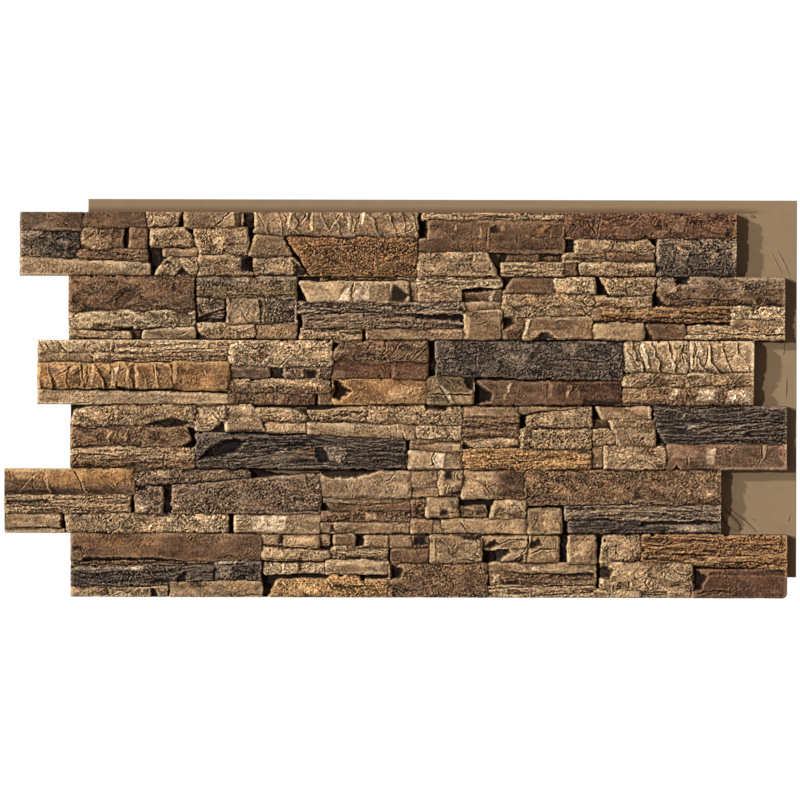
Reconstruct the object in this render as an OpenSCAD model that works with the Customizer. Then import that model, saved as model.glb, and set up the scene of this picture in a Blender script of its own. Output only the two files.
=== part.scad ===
// Faux stone wall panel: one moulding of rigid foam that looks like six courses of stacked ledgestone.
// Millimetres. It lies on its back: X runs along the courses, Y up the wall, Z out of the stone face.
// The origin is under the middle of the whole outline, on the back plane.
// Each course is a strip of the same length that starts at its own offset. So the left ends of the
// courses fill the steps at the right end of the panel beside it, and rest on that panel's end flange.

/* [Courses] */
// height of one course of stones, joint to joint
course_height = 100; // [92:1:108]
// length that each course covers on the wall
coverage = 1115; // [1085:5:1145]
// start of course 1, the top one, from the tip of the longest left end, which is course 5's
course_1_start = 23; // [12:1:34]
// start of course 2
course_2_start = 99; // [90:1:106]
// start of course 3
course_3_start = 51; // [40:1:62]
// start of course 4
course_4_start = 102; // [92:1:108]
// start of course 6, the bottom one
course_6_start = 103; // [94:1:108]
// gap left between one stone and the next
joint = 2; // [1.2:0.2:2.6]
// radius of the outer corner at the right end of the bottom course
corner_radius = 8; // [5:1:11]

/* [Flanges] */
// how far the end flange reaches past course 5, whose right end is the shortest
end_flange = 118; // [112:1:126]
// how far the top flange stands above the stones
top_flange = 20; // [16:1:24]
// thickness of both flanges
flange_thickness = 8; // [6:0.5:10]
// radius of the flange's top right corner
flange_corner = 3; // [1:1:6]
// room between the back plate and the edge of the neighbour's end flange
side_room = 11; // [6:1:16]
// room between the back plate and the edge of the top flange of the panel below
foot_room = 13; // [8:1:18]
// room between a lapping stone's back and the flange that it covers
lap_clearance = 0.8; // [0.4:0.1:1.4]

/* [Depth] */
// thickness of the bed behind the stones, in front of the lap plane
bed_thickness = 7.2; // [5.2:0.4:9.2]
// how far the proudest stones stand out of the bed
stone_relief = 22; // [18:1:26]

/* [Hidden] */
courses = 6;
start = [course_1_start, course_2_start, course_3_start, course_4_start, 0, course_6_start];
length = coverage + end_flange;
height = courses * course_height + top_flange;
plate_left = end_flange + side_room;
plate_bottom = top_flange + foot_room;
lap_plane = flange_thickness + lap_clearance;
bed_top = lap_plane + bed_thickness;
foam = [0.62, 0.52, 0.38];

// The stones were laid out in courses 100 high and 1115 long, whose faces stood up to 22 clear of a bed
// at 16. So the tables below are in those sizes, and these functions fit them to the sizes set above.
laid_start = [23, 99, 51, 102, 0, 103];
function along(c, x) = start[c] + (x - laid_start[c]) * coverage / 1115;
function up(c, y) = (courses - 1 - c) * course_height + y * course_height / 100;
function relief(z) = (z - 16) * stone_relief / 22;

// Ways in which a stone's face is worked.
SAWN = 0;
SPLIT = 1;
STRATA = 2;
CHISEL = 3;
FOOT = 4;
HEAD = 5;
PILLOW = 6;

// The section of each kind of face up its height, as [share of the height, share of the relief].
rising = [
    [[0, 0.84], [0.07, 0.97], [0.5, 1], [0.93, 0.98], [1, 0.86]],
    [[0, 0.64], [0.1, 0.82], [0.34, 0.9], [0.6, 1], [0.86, 0.93], [1, 0.74]],
    [[0, 0.66], [0.08, 0.8], [0.32, 0.83], [0.37, 0.93], [0.64, 0.94], [0.69, 1], [0.94, 0.98], [1, 0.85]],
    [[0, 0.7], [0.14, 0.88], [0.5, 1], [0.88, 0.92], [1, 0.78]],
    [[0, 0.58], [0.22, 0.74], [0.84, 1], [1, 0.88]],
    [[0, 0.86], [0.16, 1], [0.7, 0.82], [1, 0.62]],
    [[0, 0.6], [0.14, 0.84], [0.36, 0.98], [0.62, 1], [0.86, 0.85], [1, 0.62]]
];

// The section along its length.
running = [
    [[0, 0.88], [0.02, 0.98], [0.5, 1], [0.98, 0.98], [1, 0.88]],
    [[0, 0.76], [0.05, 0.95], [0.28, 1], [0.4, 0.94], [0.66, 0.98], [0.93, 0.93], [1, 0.78]],
    [[0, 0.8], [0.04, 0.96], [0.45, 1], [0.5, 0.95], [0.96, 0.97], [1, 0.82]],
    [[0, 0.78], [0.06, 0.95], [0.2, 0.86], [0.27, 1], [0.42, 0.88], [0.5, 1], [0.68, 0.86], [0.76, 0.98],
        [0.93, 0.92], [1, 0.78]],
    [[0, 0.84], [0.05, 0.97], [0.5, 1], [0.95, 0.96], [1, 0.84]],
    [[0, 0.8], [0.08, 0.94], [0.42, 1], [0.6, 0.92], [1, 0.78]],
    [[0, 0.62], [0.06, 0.84], [0.2, 0.97], [0.55, 1], [0.82, 0.95], [0.95, 0.82], [1, 0.6]]
];

// One stone is a row: left, right, bottom, top, height of its face, kind of face, and then where it
// isn't square: the lean of its left end, the lean of its right end, the rise of its top edge and the
// rise of its bottom edge, each from its first corner to its second. The last rows of a course are the
// stones set far back, which close its hollows.
course_1 = [
    [23, 120, 71, 100, 33, SAWN],
    [23, 111, 29, 70, 34, SPLIT, 0, 7],
    [23, 225, 1, 28, 36, SAWN, 0, 0, -10],
    [120, 221, 76, 100, 32, FOOT, 8],
    [117, 183, 42, 74, 30, SPLIT, 4],
    [195, 220, 42, 74, 29, SAWN],
    [113, 221, 25, 40, 31, STRATA, 0, 0, 0, -5],
    [222, 267, 76, 100, 34, SPLIT, 0, 8],
    [281, 369, 75, 100, 35, SPLIT],
    [228, 300, 46, 73, 33, SPLIT, 0, -18],
    [303, 378, 33, 73, 37, PILLOW, -7],
    [248, 301, 31, 42, 30, SAWN],
    [234, 300, 1, 28, 35, SPLIT, 17],
    [302, 386, 1, 30, 36, PILLOW, 0, -6],
    [388, 475, 1, 30, 33, SPLIT, 0, -28],
    [379, 446, 33, 63, 34, SAWN, 12, -13],
    [390, 641, 66, 100, 36, CHISEL, 0, 0, 0, -5],
    [478, 641, 1, 59, 37, SPLIT, -38],
    [650, 867, 87, 100, 33, STRATA],
    [643, 869, 39, 85, 35, SAWN, 8],
    [643, 767, 1, 36, 36, SPLIT, 0, -17],
    [783, 830, 22, 36, 28, SAWN],
    [834, 867, 22, 36, 27, SPLIT],
    [869, 935, 21, 36, 29, SAWN],
    [936, 1010, 21, 36, 28, SPLIT],
    [773, 868, 1, 20, 32, SPLIT],
    [869, 889, 2, 19, 29, SAWN],
    [895, 1010, 1, 20, 33, SPLIT],
    [888, 1014, 38, 59, 34, SPLIT, 0, -14],
    [871, 1138, 61, 100, 36, SPLIT],
    [1016, 1138, 1, 59, 37, SPLIT],
    [225, 240, 14, 44, 25, SPLIT],
    [371, 389, 75, 99, 25, SPLIT],
    [871, 887, 39, 59, 25, SPLIT]
];

course_2 = [
    [99, 295, 47, 99, 36, SPLIT],
    [99, 295, 20, 46, 34, STRATA],
    [99, 197, 2, 18, 32, SAWN, 0, 0, -6],
    [198, 211, 3, 15, 26, SAWN],
    [217, 295, 2, 14, 33, SAWN, 0, 0, 5],
    [301, 453, 68, 98, 35, SPLIT],
    [301, 341, 28, 66, 31, SPLIT],
    [347, 453, 26, 67, 36, HEAD],
    [305, 390, 4, 25, 33, SPLIT, -5],
    [392, 453, 4, 25, 32, SAWN],
    [473, 627, 60, 90, 36, SAWN, -14],
    [492, 641, 91, 99, 30, SAWN],
    [629, 641, 60, 89, 32, SAWN],
    [457, 715, 42, 58, 34, STRATA],
    [465, 715, 20, 40, 35, STRATA],
    [461, 553, 2, 18, 31, STRATA],
    [564, 714, 2, 18, 33, SAWN],
    [643, 772, 84, 98, 33, STRATA],
    [643, 709, 60, 83, 33, SPLIT],
    [710, 772, 61, 81, 31, HEAD],
    [717, 772, 47, 59, 31, SAWN],
    [716, 772, 3, 45, 36, PILLOW],
    [776, 854, 75, 97, 34, SAWN, 15],
    [856, 917, 74, 97, 35, SPLIT],
    [775, 915, 54, 73, 34, STRATA],
    [775, 914, 37, 53, 33, STRATA],
    [775, 807, 3, 36, 35, SPLIT],
    [808, 914, 4, 36, 36, SAWN],
    [942, 1006, 72, 98, 34, SPLIT, 0, 10],
    [918, 1006, 54, 70, 33, SPLIT],
    [1014, 1214, 55, 99, 37, SPLIT, 4],
    [920, 1130, 31, 53, 35, STRATA],
    [1131, 1214, 35, 54, 34, SPLIT],
    [1131, 1214, 24, 34, 31, SAWN],
    [918, 993, 3, 26, 36, SAWN],
    [997, 1057, 4, 25, 34, SPLIT],
    [1059, 1214, 3, 23, 33, STRATA],
    [919, 941, 72, 97, 25, SPLIT]
];

course_3 = [
    [51, 168, 80, 100, 34, SPLIT],
    [171, 349, 82, 100, 33, STRATA],
    [51, 140, 65, 79, 31, SAWN],
    [141, 349, 67, 80, 32, STRATA],
    [51, 260, 26, 63, 37, CHISEL],
    [261, 349, 24, 65, 35, SAWN],
    [51, 349, 1, 23, 34, SPLIT, 0, 0, -5],
    [351, 508, 61, 99, 36, SPLIT],
    [351, 411, 42, 60, 31, SAWN],
    [436, 508, 41, 59, 32, HEAD],
    [351, 506, 20, 39, 35, SPLIT],
    [351, 482, 1, 18, 32, SPLIT],
    [491, 509, 1, 18, 33, SAWN],
    [511, 657, 69, 99, 35, SPLIT],
    [511, 601, 41, 67, 33, SAWN],
    [603, 657, 41, 67, 34, SAWN],
    [516, 657, 1, 38, 36, PILLOW, 16],
    [672, 960, 47, 100, 38, STRATA, 0, 0, 0, -7],
    [659, 729, 1, 44, 36, SPLIT],
    [740, 957, 2, 36, 35, FOOT, 14],
    [963, 1063, 53, 100, 36, CHISEL],
    [1064, 1166, 53, 100, 36, CHISEL],
    [963, 1061, 30, 51, 34, SPLIT],
    [1062, 1166, 30, 51, 34, SPLIT],
    [963, 1166, 1, 27, 35, SPLIT],
    [413, 435, 42, 60, 25, SPLIT],
    [659, 671, 46, 99, 25, SPLIT],
    [731, 739, 2, 36, 24, SPLIT, 0, 12]
];

course_4 = [
    [102, 296, 66, 97, 35, SPLIT, 12],
    [102, 214, 36, 65, 34, SPLIT],
    [215, 294, 34, 63, 35, HEAD, 0, -10],
    [102, 296, 1, 33, 36, STRATA],
    [299, 343, 60, 98, 34, SPLIT],
    [345, 402, 66, 98, 35, SAWN, 0, -18],
    [405, 562, 72, 92, 35, PILLOW, -12, 0, 6],
    [407, 470, 58, 71, 33, SAWN],
    [472, 638, 55, 70, 34, PILLOW],
    [640, 711, 49, 68, 33, SPLIT],
    [632, 711, 41, 48, 30, SAWN],
    [566, 711, 70, 97, 36, SPLIT],
    [299, 628, 2, 55, 38, STRATA, 0, -8, -7],
    [631, 711, 29, 40, 31, SAWN],
    [630, 711, 1, 27, 34, SAWN],
    [714, 800, 82, 97, 32, SAWN],
    [714, 800, 50, 80, 35, STRATA],
    [714, 800, 33, 48, 33, SPLIT],
    [804, 822, 82, 97, 31, SAWN, 0, 60],
    [818, 912, 64, 97, 36, SPLIT, 74],
    [803, 911, 34, 62, 35, SPLIT],
    [715, 911, 1, 31, 34, STRATA],
    [916, 1005, 79, 97, 34, SAWN, 10],
    [915, 953, 39, 62, 32, SPLIT],
    [955, 1011, 38, 77, 35, SPLIT],
    [915, 932, 4, 35, 31, SAWN],
    [934, 1028, 1, 36, 36, SPLIT],
    [1010, 1217, 76, 99, 36, STRATA],
    [1015, 1217, 41, 74, 35, STRATA],
    [1031, 1217, 1, 39, 36, SAWN]
];

course_5 = [
    [0, 202, 61, 99, 36, SAWN],
    [0, 196, 32, 59, 34, STRATA],
    [0, 91, 9, 29, 32, SAWN],
    [3, 92, 1, 8, 30, SAWN],
    [97, 348, 1, 30, 34, SPLIT],
    [205, 380, 75, 97, 35, SPLIT, 0, 0, 0, 10],
    [205, 246, 32, 72, 34, SPLIT],
    [262, 491, 33, 72, 37, SPLIT, 0, 0, 20],
    [360, 491, 1, 30, 33, SAWN],
    [493, 631, 57, 96, 35, SAWN],
    [493, 631, 48, 56, 31, SAWN],
    [497, 631, 36, 47, 30, SAWN],
    [494, 631, 20, 34, 32, SPLIT],
    [494, 513, 1, 17, 30, SAWN],
    [515, 631, 1, 17, 31, SAWN],
    [634, 675, 73, 97, 35, SAWN],
    [634, 675, 58, 71, 33, SAWN],
    [677, 711, 58, 97, 36, HEAD],
    [713, 811, 56, 97, 36, PILLOW],
    [634, 657, 27, 54, 31, SPLIT],
    [658, 706, 28, 55, 34, PILLOW],
    [707, 752, 26, 43, 30, SPLIT],
    [765, 812, 24, 54, 34, SPLIT, -8],
    [634, 667, 1, 22, 33, SAWN],
    [668, 682, 1, 22, 31, SAWN],
    [683, 812, 1, 22, 34, SAWN],
    [813, 1115, 47, 98, 37, SAWN],
    [815, 866, 1, 39, 34, SPLIT],
    [874, 1115, 22, 45, 35, STRATA],
    [879, 1115, 1, 20, 33, STRATA],
    [247, 261, 33, 72, 25, SPLIT]
];

course_6 = [
    [103, 399, 59, 98, 36, SPLIT],
    [106, 330, 50, 58, 29, SAWN],
    [103, 326, 19, 48, 35, STRATA],
    [328, 399, 27, 56, 34, SPLIT],
    [103, 254, 1, 17, 33, SPLIT],
    [260, 400, 1, 25, 35, SAWN],
    [402, 433, 82, 98, 32, SAWN],
    [436, 489, 80, 98, 33, SAWN],
    [490, 505, 83, 98, 30, SAWN],
    [513, 545, 80, 97, 31, SAWN],
    [562, 597, 80, 96, 32, SAWN],
    [402, 507, 60, 79, 34, SPLIT, 0, 0, -6],
    [510, 597, 60, 78, 34, STRATA],
    [405, 432, 39, 54, 29, SPLIT],
    [433, 457, 39, 54, 30, SPLIT],
    [458, 499, 39, 54, 29, SPLIT],
    [501, 597, 38, 57, 34, PILLOW],
    [412, 597, 1, 28, 36, SPLIT],
    [600, 634, 79, 97, 32, SAWN],
    [635, 661, 79, 97, 31, SPLIT],
    [603, 660, 55, 77, 33, SPLIT],
    [663, 741, 56, 97, 36, SAWN],
    [743, 815, 77, 93, 33, HEAD],
    [768, 809, 58, 75, 32, HEAD],
    [818, 862, 77, 95, 32, SPLIT],
    [818, 862, 57, 75, 31, SPLIT],
    [878, 919, 56, 97, 35, SAWN],
    [600, 751, 2, 53, 37, SPLIT],
    [754, 919, 42, 54, 33, SAWN],
    [756, 919, 20, 40, 34, STRATA],
    [753, 919, 2, 18, 34, STRATA],
    [931, 989, 59, 97, 35, SPLIT],
    [993, 1218, 58, 98, 37, STRATA, 0, 0, 0, -11],
    [931, 1068, 14, 51, 36, SPLIT],
    [919, 989, 1, 12, 31, SAWN],
    [990, 1031, 1, 11, 28, SAWN],
    [1032, 1069, 1, 12, 31, SAWN],
    [1071, 1218, 1, 42, 36, SAWN, 6],
    [864, 877, 57, 96, 25, SPLIT],
    [920, 930, 15, 96, 24, SPLIT]
];

laid = [course_1, course_2, course_3, course_4, course_5, course_6];

// Share of a chip's size at each corner of a stone, so that no two stones side by side are broken alike.
chips = [0.9, 0.4, 0.7, 0.3, 1, 0.5, 0.35, 0.8];
function chip(k, i) = chips[(k * 3 + i * 5) % 8];
function part_of(row, i) = len(row) > i ? row[i] : 0;

// A stone's outline on the wall, with its corners knocked off and its long edges bowed in a little.
module stone_outline(c, k) {
    row = laid[c][k];
    gap = joint / 2;
    left = along(c, row[0]) + gap;
    right = along(c, row[1]) - gap;
    bottom = up(c, row[2]) + gap;
    top = up(c, row[3]) - gap;
    left_lean = part_of(row, 6);
    right_lean = part_of(row, 7);
    top_rise = part_of(row, 8);
    bottom_rise = part_of(row, 9);
    nick = min(3.2, (top - bottom) * 0.14, (right - left) * 0.14);
    rub = nick * 0.35;
    polygon([
        [left + nick * chip(k, 0), bottom],
        [(left * 2 + right) / 3, bottom + bottom_rise / 3 + rub * chip(k, 1)],
        [right - nick * chip(k, 2), bottom + bottom_rise],
        [right, bottom + bottom_rise + nick * chip(k, 3)],
        [right + right_lean, top + top_rise - nick * chip(k, 4)],
        [right + right_lean - nick * chip(k, 5), top + top_rise],
        [(left + left_lean + (right + right_lean) * 2) / 3, top + top_rise * 2 / 3 - rub * chip(k, 6)],
        [left + left_lean + nick * chip(k, 7), top],
        [left + left_lean, top - nick * chip(k, 0)],
        [left, bottom + nick * chip(k, 5)]
    ]);
}

// A section as an outline from inside the bed up to the face, over the span from a to b.
function section(shares, a, b, depth) = concat(
    [[b, -1], [a, -1]],
    [for (s = shares) [a + (b - a) * s[0], depth * s[1]]]
);

// Every other stone's section is turned end for end.
function turned(shares, k) = k % 2 == 0
    ? shares
    : [for (i = [len(shares) - 1:-1:0]) [1 - shares[i][0], shares[i][1]]];

module stone(c, k) {
    row = laid[c][k];
    depth = relief(row[4]);
    kind = row[5];
    left = along(c, row[0]) + min(0, part_of(row, 6));
    right = along(c, row[1]) + max(0, part_of(row, 7));
    bottom = up(c, row[2]) + min(0, part_of(row, 9));
    top = up(c, row[3]) + max(0, part_of(row, 8));
    translate([0, 0, bed_top])
        intersection() {
            translate([0, 0, -1]) linear_extrude(depth + 2) stone_outline(c, k);
            translate([left - 1, 0, 0]) rotate([90, 0, 90]) linear_extrude(right - left + 2)
                polygon(section(rising[kind], bottom, top, depth));
            translate([0, top + 1, 0]) rotate([90, 0, 0]) linear_extrude(top - bottom + 2)
                polygon(section(turned(running[kind], k), left, right, depth));
        }
}

// The bed of one course, a strip behind its stones that ends flush with them.
module strip(c) {
    gap = joint / 2;
    foot = c == courses - 1 ? gap : 0;
    head = c == 0 ? gap : 0;
    translate([start[c] + gap, up(c, 0) + foot])
        square([coverage - 2 * gap, course_height - foot - head]);
}

module field() {
    for (c = [0:courses - 1]) strip(c);
}

// The back plate reaches past the stones as the end flange and the top flange.
module plate_outline() {
    difference() {
        translate([plate_left, plate_bottom]) square([length - plate_left, height - plate_bottom]);
        translate([length - flange_corner, height - flange_corner]) difference() {
            square(flange_corner + 1);
            circle(r = flange_corner);
        }
    }
}

// The outer corner of the bottom course, taken off through stone and bed.
module outer_corner() {
    right = start[5] + coverage - joint / 2;
    translate([right - corner_radius, joint / 2 + corner_radius, lap_plane - 1]) rotate([0, 0, -90])
        linear_extrude(bed_thickness + stone_relief + 3) difference() {
            square(corner_radius + 3);
            circle(r = corner_radius);
        }
}

module stone_panel() {
    color(foam) translate([-(length + joint / 2) / 2, -(height + joint / 2) / 2, 0]) difference() {
        union() {
            linear_extrude(flange_thickness) plate_outline();
            linear_extrude(lap_plane + 0.5) intersection() {
                plate_outline();
                field();
            }
            translate([0, 0, lap_plane]) linear_extrude(bed_thickness) field();
            for (c = [0:courses - 1])
                for (k = [0:len(laid[c]) - 1]) stone(c, k);
        }
        outer_corner();
    }
}

stone_panel();
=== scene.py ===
# %% [markdown]
# # A faux stone wall panel
# The real panel is one moulding of rigid foam. Its face was cast from real ledgestone and then
# coloured by hand, so it has to look like some two hundred different stones and still be one piece.
# This lesson keeps the CAD frame for the sizes and dresses it: one dense skin for each course of
# stones, and a plain back plate with its two flanges.

# %% Load the frame
import math
import bpy
import numpy as np
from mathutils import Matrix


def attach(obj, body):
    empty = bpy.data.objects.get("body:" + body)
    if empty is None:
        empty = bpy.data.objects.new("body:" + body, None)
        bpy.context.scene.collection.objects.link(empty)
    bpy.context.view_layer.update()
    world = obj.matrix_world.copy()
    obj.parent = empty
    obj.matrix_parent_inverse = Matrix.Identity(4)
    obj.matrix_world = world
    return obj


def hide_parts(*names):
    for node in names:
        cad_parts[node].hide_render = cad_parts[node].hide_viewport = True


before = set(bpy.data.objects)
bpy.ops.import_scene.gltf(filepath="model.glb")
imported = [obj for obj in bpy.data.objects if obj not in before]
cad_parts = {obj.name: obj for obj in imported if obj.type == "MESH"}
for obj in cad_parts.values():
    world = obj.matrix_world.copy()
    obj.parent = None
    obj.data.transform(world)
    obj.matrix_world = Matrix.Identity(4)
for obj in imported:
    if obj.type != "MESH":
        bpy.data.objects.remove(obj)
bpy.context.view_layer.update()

# %% [markdown]
# ## The panel's sizes
# These are the sizes of the part's source, in millimetres. A ruler laid along the panel starts at the
# tip of the longest left end, and each course has a ruler of its own up its height, from 0 to 100.
# `START` is where each course begins on the long ruler, from the top course down.

# %% Sizes
START = (23, 99, 51, 102, 0, 103)
COVERAGE = 1115
COURSE = 100
PLATE_LEFT = 129
PLATE_BOTTOM = 33
LENGTH = 1233
HEIGHT = 620
FLANGE = 8
LAP_PLANE = 8.8
BED = 16
JOINT = 2
MIDDLE_X = (LENGTH + JOINT / 2) / 2
MIDDLE_Y = (HEIGHT + JOINT / 2) / 2
CORNER = 8


def course_foot(c):
    """The ruler height of a course's lower edge above the panel's foot."""
    return (len(START) - 1 - c) * COURSE


print("six courses of", COVERAGE, "mm, offset by", START)

# %% [markdown]
# ## The camera
# The photograph looks straight at the face through a long lens, so the panel lies on its back and the
# camera hangs above it. A far camera with a long lens keeps the sides of the stones out of sight.
# The picture is 800 pixels across, and the ruler read off it gives 1.5535 mm to a pixel.

# %% Camera
MM_PER_PIXEL = 1.5535
PICTURE_MIDDLE_X = 615.2
PICTURE_MIDDLE_Y = 307.9
DISTANCE = 8.0
bpy.ops.object.camera_add(
    location=((PICTURE_MIDDLE_X - MIDDLE_X) / 1000, (PICTURE_MIDDLE_Y - MIDDLE_Y) / 1000, DISTANCE),
    rotation=(0, 0, math.radians(0.14)),
)
camera = bpy.context.object
camera.name = "camera"
camera.data.sensor_width = 36
camera.data.lens = 36 * (DISTANCE - 0.03) / (800 * MM_PER_PIXEL / 1000)
camera.data.clip_end = 40
bpy.context.scene.camera = camera
print("lens", round(camera.data.lens, 1), "mm")

# %% [markdown]
# ## Noise for rock
# Broken stone is rough at every size at once. The usual recipe adds up layers of smooth random
# values, each finer and weaker than the last. NumPy works on a whole course at a time, which is far
# quicker than asking for one point at a time, and a fixed seed gives the same stones each run.

# %% Smooth random values
def scramble(ix, iy, seed):
    """A random value from 0 to 1 for each whole-number place."""
    h = ix.astype(np.int64) * 374761393 + iy.astype(np.int64) * 668265263 + int(seed) * 1274126177
    h = (h ^ (h >> 13)) * 1103515245 & 0x7FFFFFFF
    h = (h ^ (h >> 15)) * 2246822519 & 0x7FFFFFFF
    h = h ^ (h >> 14)
    return (h & 0xFFFFFF) / float(0xFFFFFF)


def waves(x, y, seed):
    """Smooth random values from -1 to 1, with one feature to a unit."""
    ix = np.floor(x)
    iy = np.floor(y)
    fx = x - ix
    fy = y - iy
    fx = fx * fx * (3 - 2 * fx)
    fy = fy * fy * (3 - 2 * fy)
    low = scramble(ix, iy, seed) * (1 - fx) + scramble(ix + 1, iy, seed) * fx
    high = scramble(ix, iy + 1, seed) * (1 - fx) + scramble(ix + 1, iy + 1, seed) * fx
    return (low * (1 - fy) + high * fy) * 2 - 1


def rough(x, y, seed, layers=4, fade=0.5):
    """Layers of waves, each twice as fine and weaker by fade."""
    total = 0
    weight = 1.0
    norm = 0
    for i in range(layers):
        total = total + weight * waves(x, y, seed + i * 17)
        norm += weight
        x, y = 1.9 * x + 0.5 * y + 3.1, -0.5 * x + 1.9 * y + 7.7
        weight *= fade
    return total / norm


def planes(x, y, seed):
    """Flat facets that meet in creases: each cell of a net is cut in two triangles."""
    ix = np.floor(x)
    iy = np.floor(y)
    fx = x - ix
    fy = y - iy
    a = scramble(ix, iy, seed)
    b = scramble(ix + 1, iy, seed)
    c = scramble(ix, iy + 1, seed)
    d = scramble(ix + 1, iy + 1, seed)
    low = a * (1 - fx - fy) + b * fx + c * fy
    high = d * (fx + fy - 1) + b * (1 - fy) + c * (1 - fx)
    return np.where(fx + fy < 1, low, high) * 2 - 1


def folds(x, y, seed):
    """1 along thin winding lines and 0 away from them, for cracks."""
    return np.clip(1 - np.abs(rough(x, y, seed, 2)) * 9, 0, 1)


def crags(x, y, seed, layers=3, fade=0.55):
    """Rough values with sharp crests, each layer twice as fine and weaker by fade."""
    total = 0
    weight = 1.0
    norm = 0
    for i in range(layers):
        total = total + weight * (0.7 - 2 * np.abs(waves(x, y, seed + i * 13)))
        norm += weight
        x, y = 1.8 * x + 0.7 * y + 5.3, -0.7 * x + 1.8 * y + 2.9
        weight *= fade
    return total / norm


print("noise ready:", round(float(rough(np.array([1.3]), np.array([2.6]), 4)[0]), 4))

# %% [markdown]
# ## How each stone was worked
# Someone laying ledgestone uses a few kinds of stone: sawn or weathered smooth, split rough, coarse
# grit, strata that flake in layers, slate that flows in long thin layers, and pieces dressed with a
# chisel. Each kind is a function that gives the relief of its face in millimetres, from the place
# along and up the face. Each stone calls it with a seed of its own, so no two are the same.

# %% Kinds of face
def fine(x, y, seed, amount):
    """The grain that every stone has, as fine as the grid can carry, and stronger in some places."""
    u = x + 0.7 * y
    v = y - 0.7 * x
    zone = np.clip(0.6 + 1.7 * rough(x / 21, y / 12, seed + 92, 2), 0.15, 1.8)
    strokes = 0.25 * rough(u / 4.9, v / 3.3, seed + 90, 2, 0.8) + 1.2 * waves(u / 2.4, v / 1.9, seed + 91)
    chips = np.clip(waves(u / 3.3, v / 2.3, seed + 94) - 0.35, 0, 1)
    pits = np.clip(waves(u / 3.5, v / 2.4, seed + 93) - 0.4, 0, 1)
    grains = scramble(np.rint(3 * x), np.rint(3 * y), seed + 98) - 0.5
    return amount * (zone * (0.75 * strokes + 1.5 * chips - 2.2 * pits) + 0.75 * grains)


def streaks(x, v, seed, reach=15):
    """Fine lines along the layers, as in slate and other stone that splits."""
    zone = np.clip(0.9 + 0.8 * rough(x / 31, v / 9, seed + 95, 2), 0.5, 1.5)
    return zone * (waves(x / reach, v / 2.1, seed + 96) + 0.8 * waves(2.5 * x / reach, v / 1.5, seed + 97))


def ledges(v, levels, sharp=5.0):
    """Turns a smooth rise into flat treads with steep edges, so many of them to a unit."""
    t = v * levels
    tread = np.floor(t)
    rise = np.clip((t - tread - 0.5) * sharp + 0.5, 0, 1)
    return (tread + rise) / levels


def smooth_face(x, y, seed):
    bend = 6 * rough(x / 33, y / 21, seed + 40, 3)
    face = 5.2 * planes((x + bend) / 43, (y + bend) / 21, seed) + 2.6 * ledges(rough(x / 47, y / 23, seed + 4, 2), 2, 3)
    return face + 0.5 * rough(x / 11, y / 8, seed + 5, 2) + fine(x, y, seed, 0.68)


def split_face(x, y, seed):
    bend = 7 * rough(x / 21, y / 15, seed + 40, 3)
    face = 6.0 * ledges(rough((x + bend) / 31, (y + bend) / 17, seed, 2), 3, 2.5)
    face = face + 4.6 * planes((x - bend) / 27, (y + bend) / 16, seed + 3) + 0.4 * rough(x / 7, y / 5, seed + 5, 2)
    return face + fine(x, y, seed, 1.1)


def grit_face(x, y, seed):
    bend = 5 * rough(x / 17, y / 12, seed + 40, 3)
    face = 3.6 * ledges(rough((x + bend) / 37, (y + bend) / 21, seed, 3), 2, 3)
    face = face + 3.0 * planes((x - bend) / 17, (y + bend) / 12, seed + 5) + 0.5 * rough(x / 8, y / 5, seed + 6, 2)
    return face + fine(x, y, seed, 1.6)


def strata_face(x, y, seed):
    slope = 0.07 * (scramble(np.float64(seed), np.float64(1), 2) - 0.5) * x
    face = 6.0 * ledges(rough(x / 57, (y + slope) / 8.5, seed, 2), 3, 3)
    face = face + 1.4 * crags(x / 17, (y + slope) / 5.5, seed + 9, 3, 0.65) + 0.9 * rough(x / 5, y / 3.6, seed + 10, 2)
    return face + 0.7 * streaks(x, y + slope, seed, 8) + fine(x, y, seed, 1.2)


def slate_face(x, y, seed):
    flow = 6 * rough(x / 75, y / 45, seed + 60, 2)
    face = 5.0 * ledges(rough(x / 110, (y + flow) / 15, seed, 2), 3, 2.5)
    face = face + 2.4 * planes(x / 61, (y + flow) / 15, seed + 3) + 1.2 * crags(x / 49, (y + flow) / 7, seed + 9, 2, 0.6)
    return face + 1.2 * streaks(x, y + flow, seed) + fine(x, y, seed, 1.0)


def chisel_face(x, y, seed):
    bend = 8 * rough(x / 25, y / 17, seed + 41, 3)
    t = (x + 0.3 * y + bend + 9 * rough(x / 60, y / 90, seed + 42, 1)) / 23
    stroke = t - np.floor(t)
    deep = np.clip(0.7 + 0.9 * rough(x / 37, y / 29, seed + 43, 2), 0.1, 1.3)
    crest = 3.6 * np.minimum(stroke, (1 - stroke) * 12) + 1.3 * np.clip(1 - np.abs(stroke - 0.9) / 0.07, 0, 1)
    face = deep * crest + 2.2 * planes((x + bend) / 27, (y - bend) / 29, seed + 12)
    return face + 0.6 * rough(x / 7, y / 6, seed + 5, 2) + fine(x, y, seed, 0.7)


KINDS = {
    "smooth": smooth_face,
    "split": split_face,
    "grit": grit_face,
    "strata": strata_face,
    "slate": slate_face,
    "chisel": chisel_face,
}
print("kinds of face:", ", ".join(KINDS))

# %% [markdown]
# ## The colours
# The mould gives every stone the same foam, and the colour is put on after: a ground colour for each
# stone, a second tone sprayed over part of it, a dark wash that stays in the low places, and a dry
# brush of pale colour that only catches the high ones. The wash is also painted shade in the hollows
# and joints, and the brush is also painted highlight on the crests. A finish below is those four
# colours; the shadow finish is painted shadow, for the set-back pieces in the hollows.

# %% Finishes
def tone(code):
    """A colour as a painter writes it, turned into the light values that Blender mixes."""
    parts = [int(code[i:i + 2], 16) / 255 for i in (0, 2, 4)]
    return np.array([p / 12.92 if p < 0.04045 else ((p + 0.055) / 1.055) ** 2.4 for p in parts])
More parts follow.
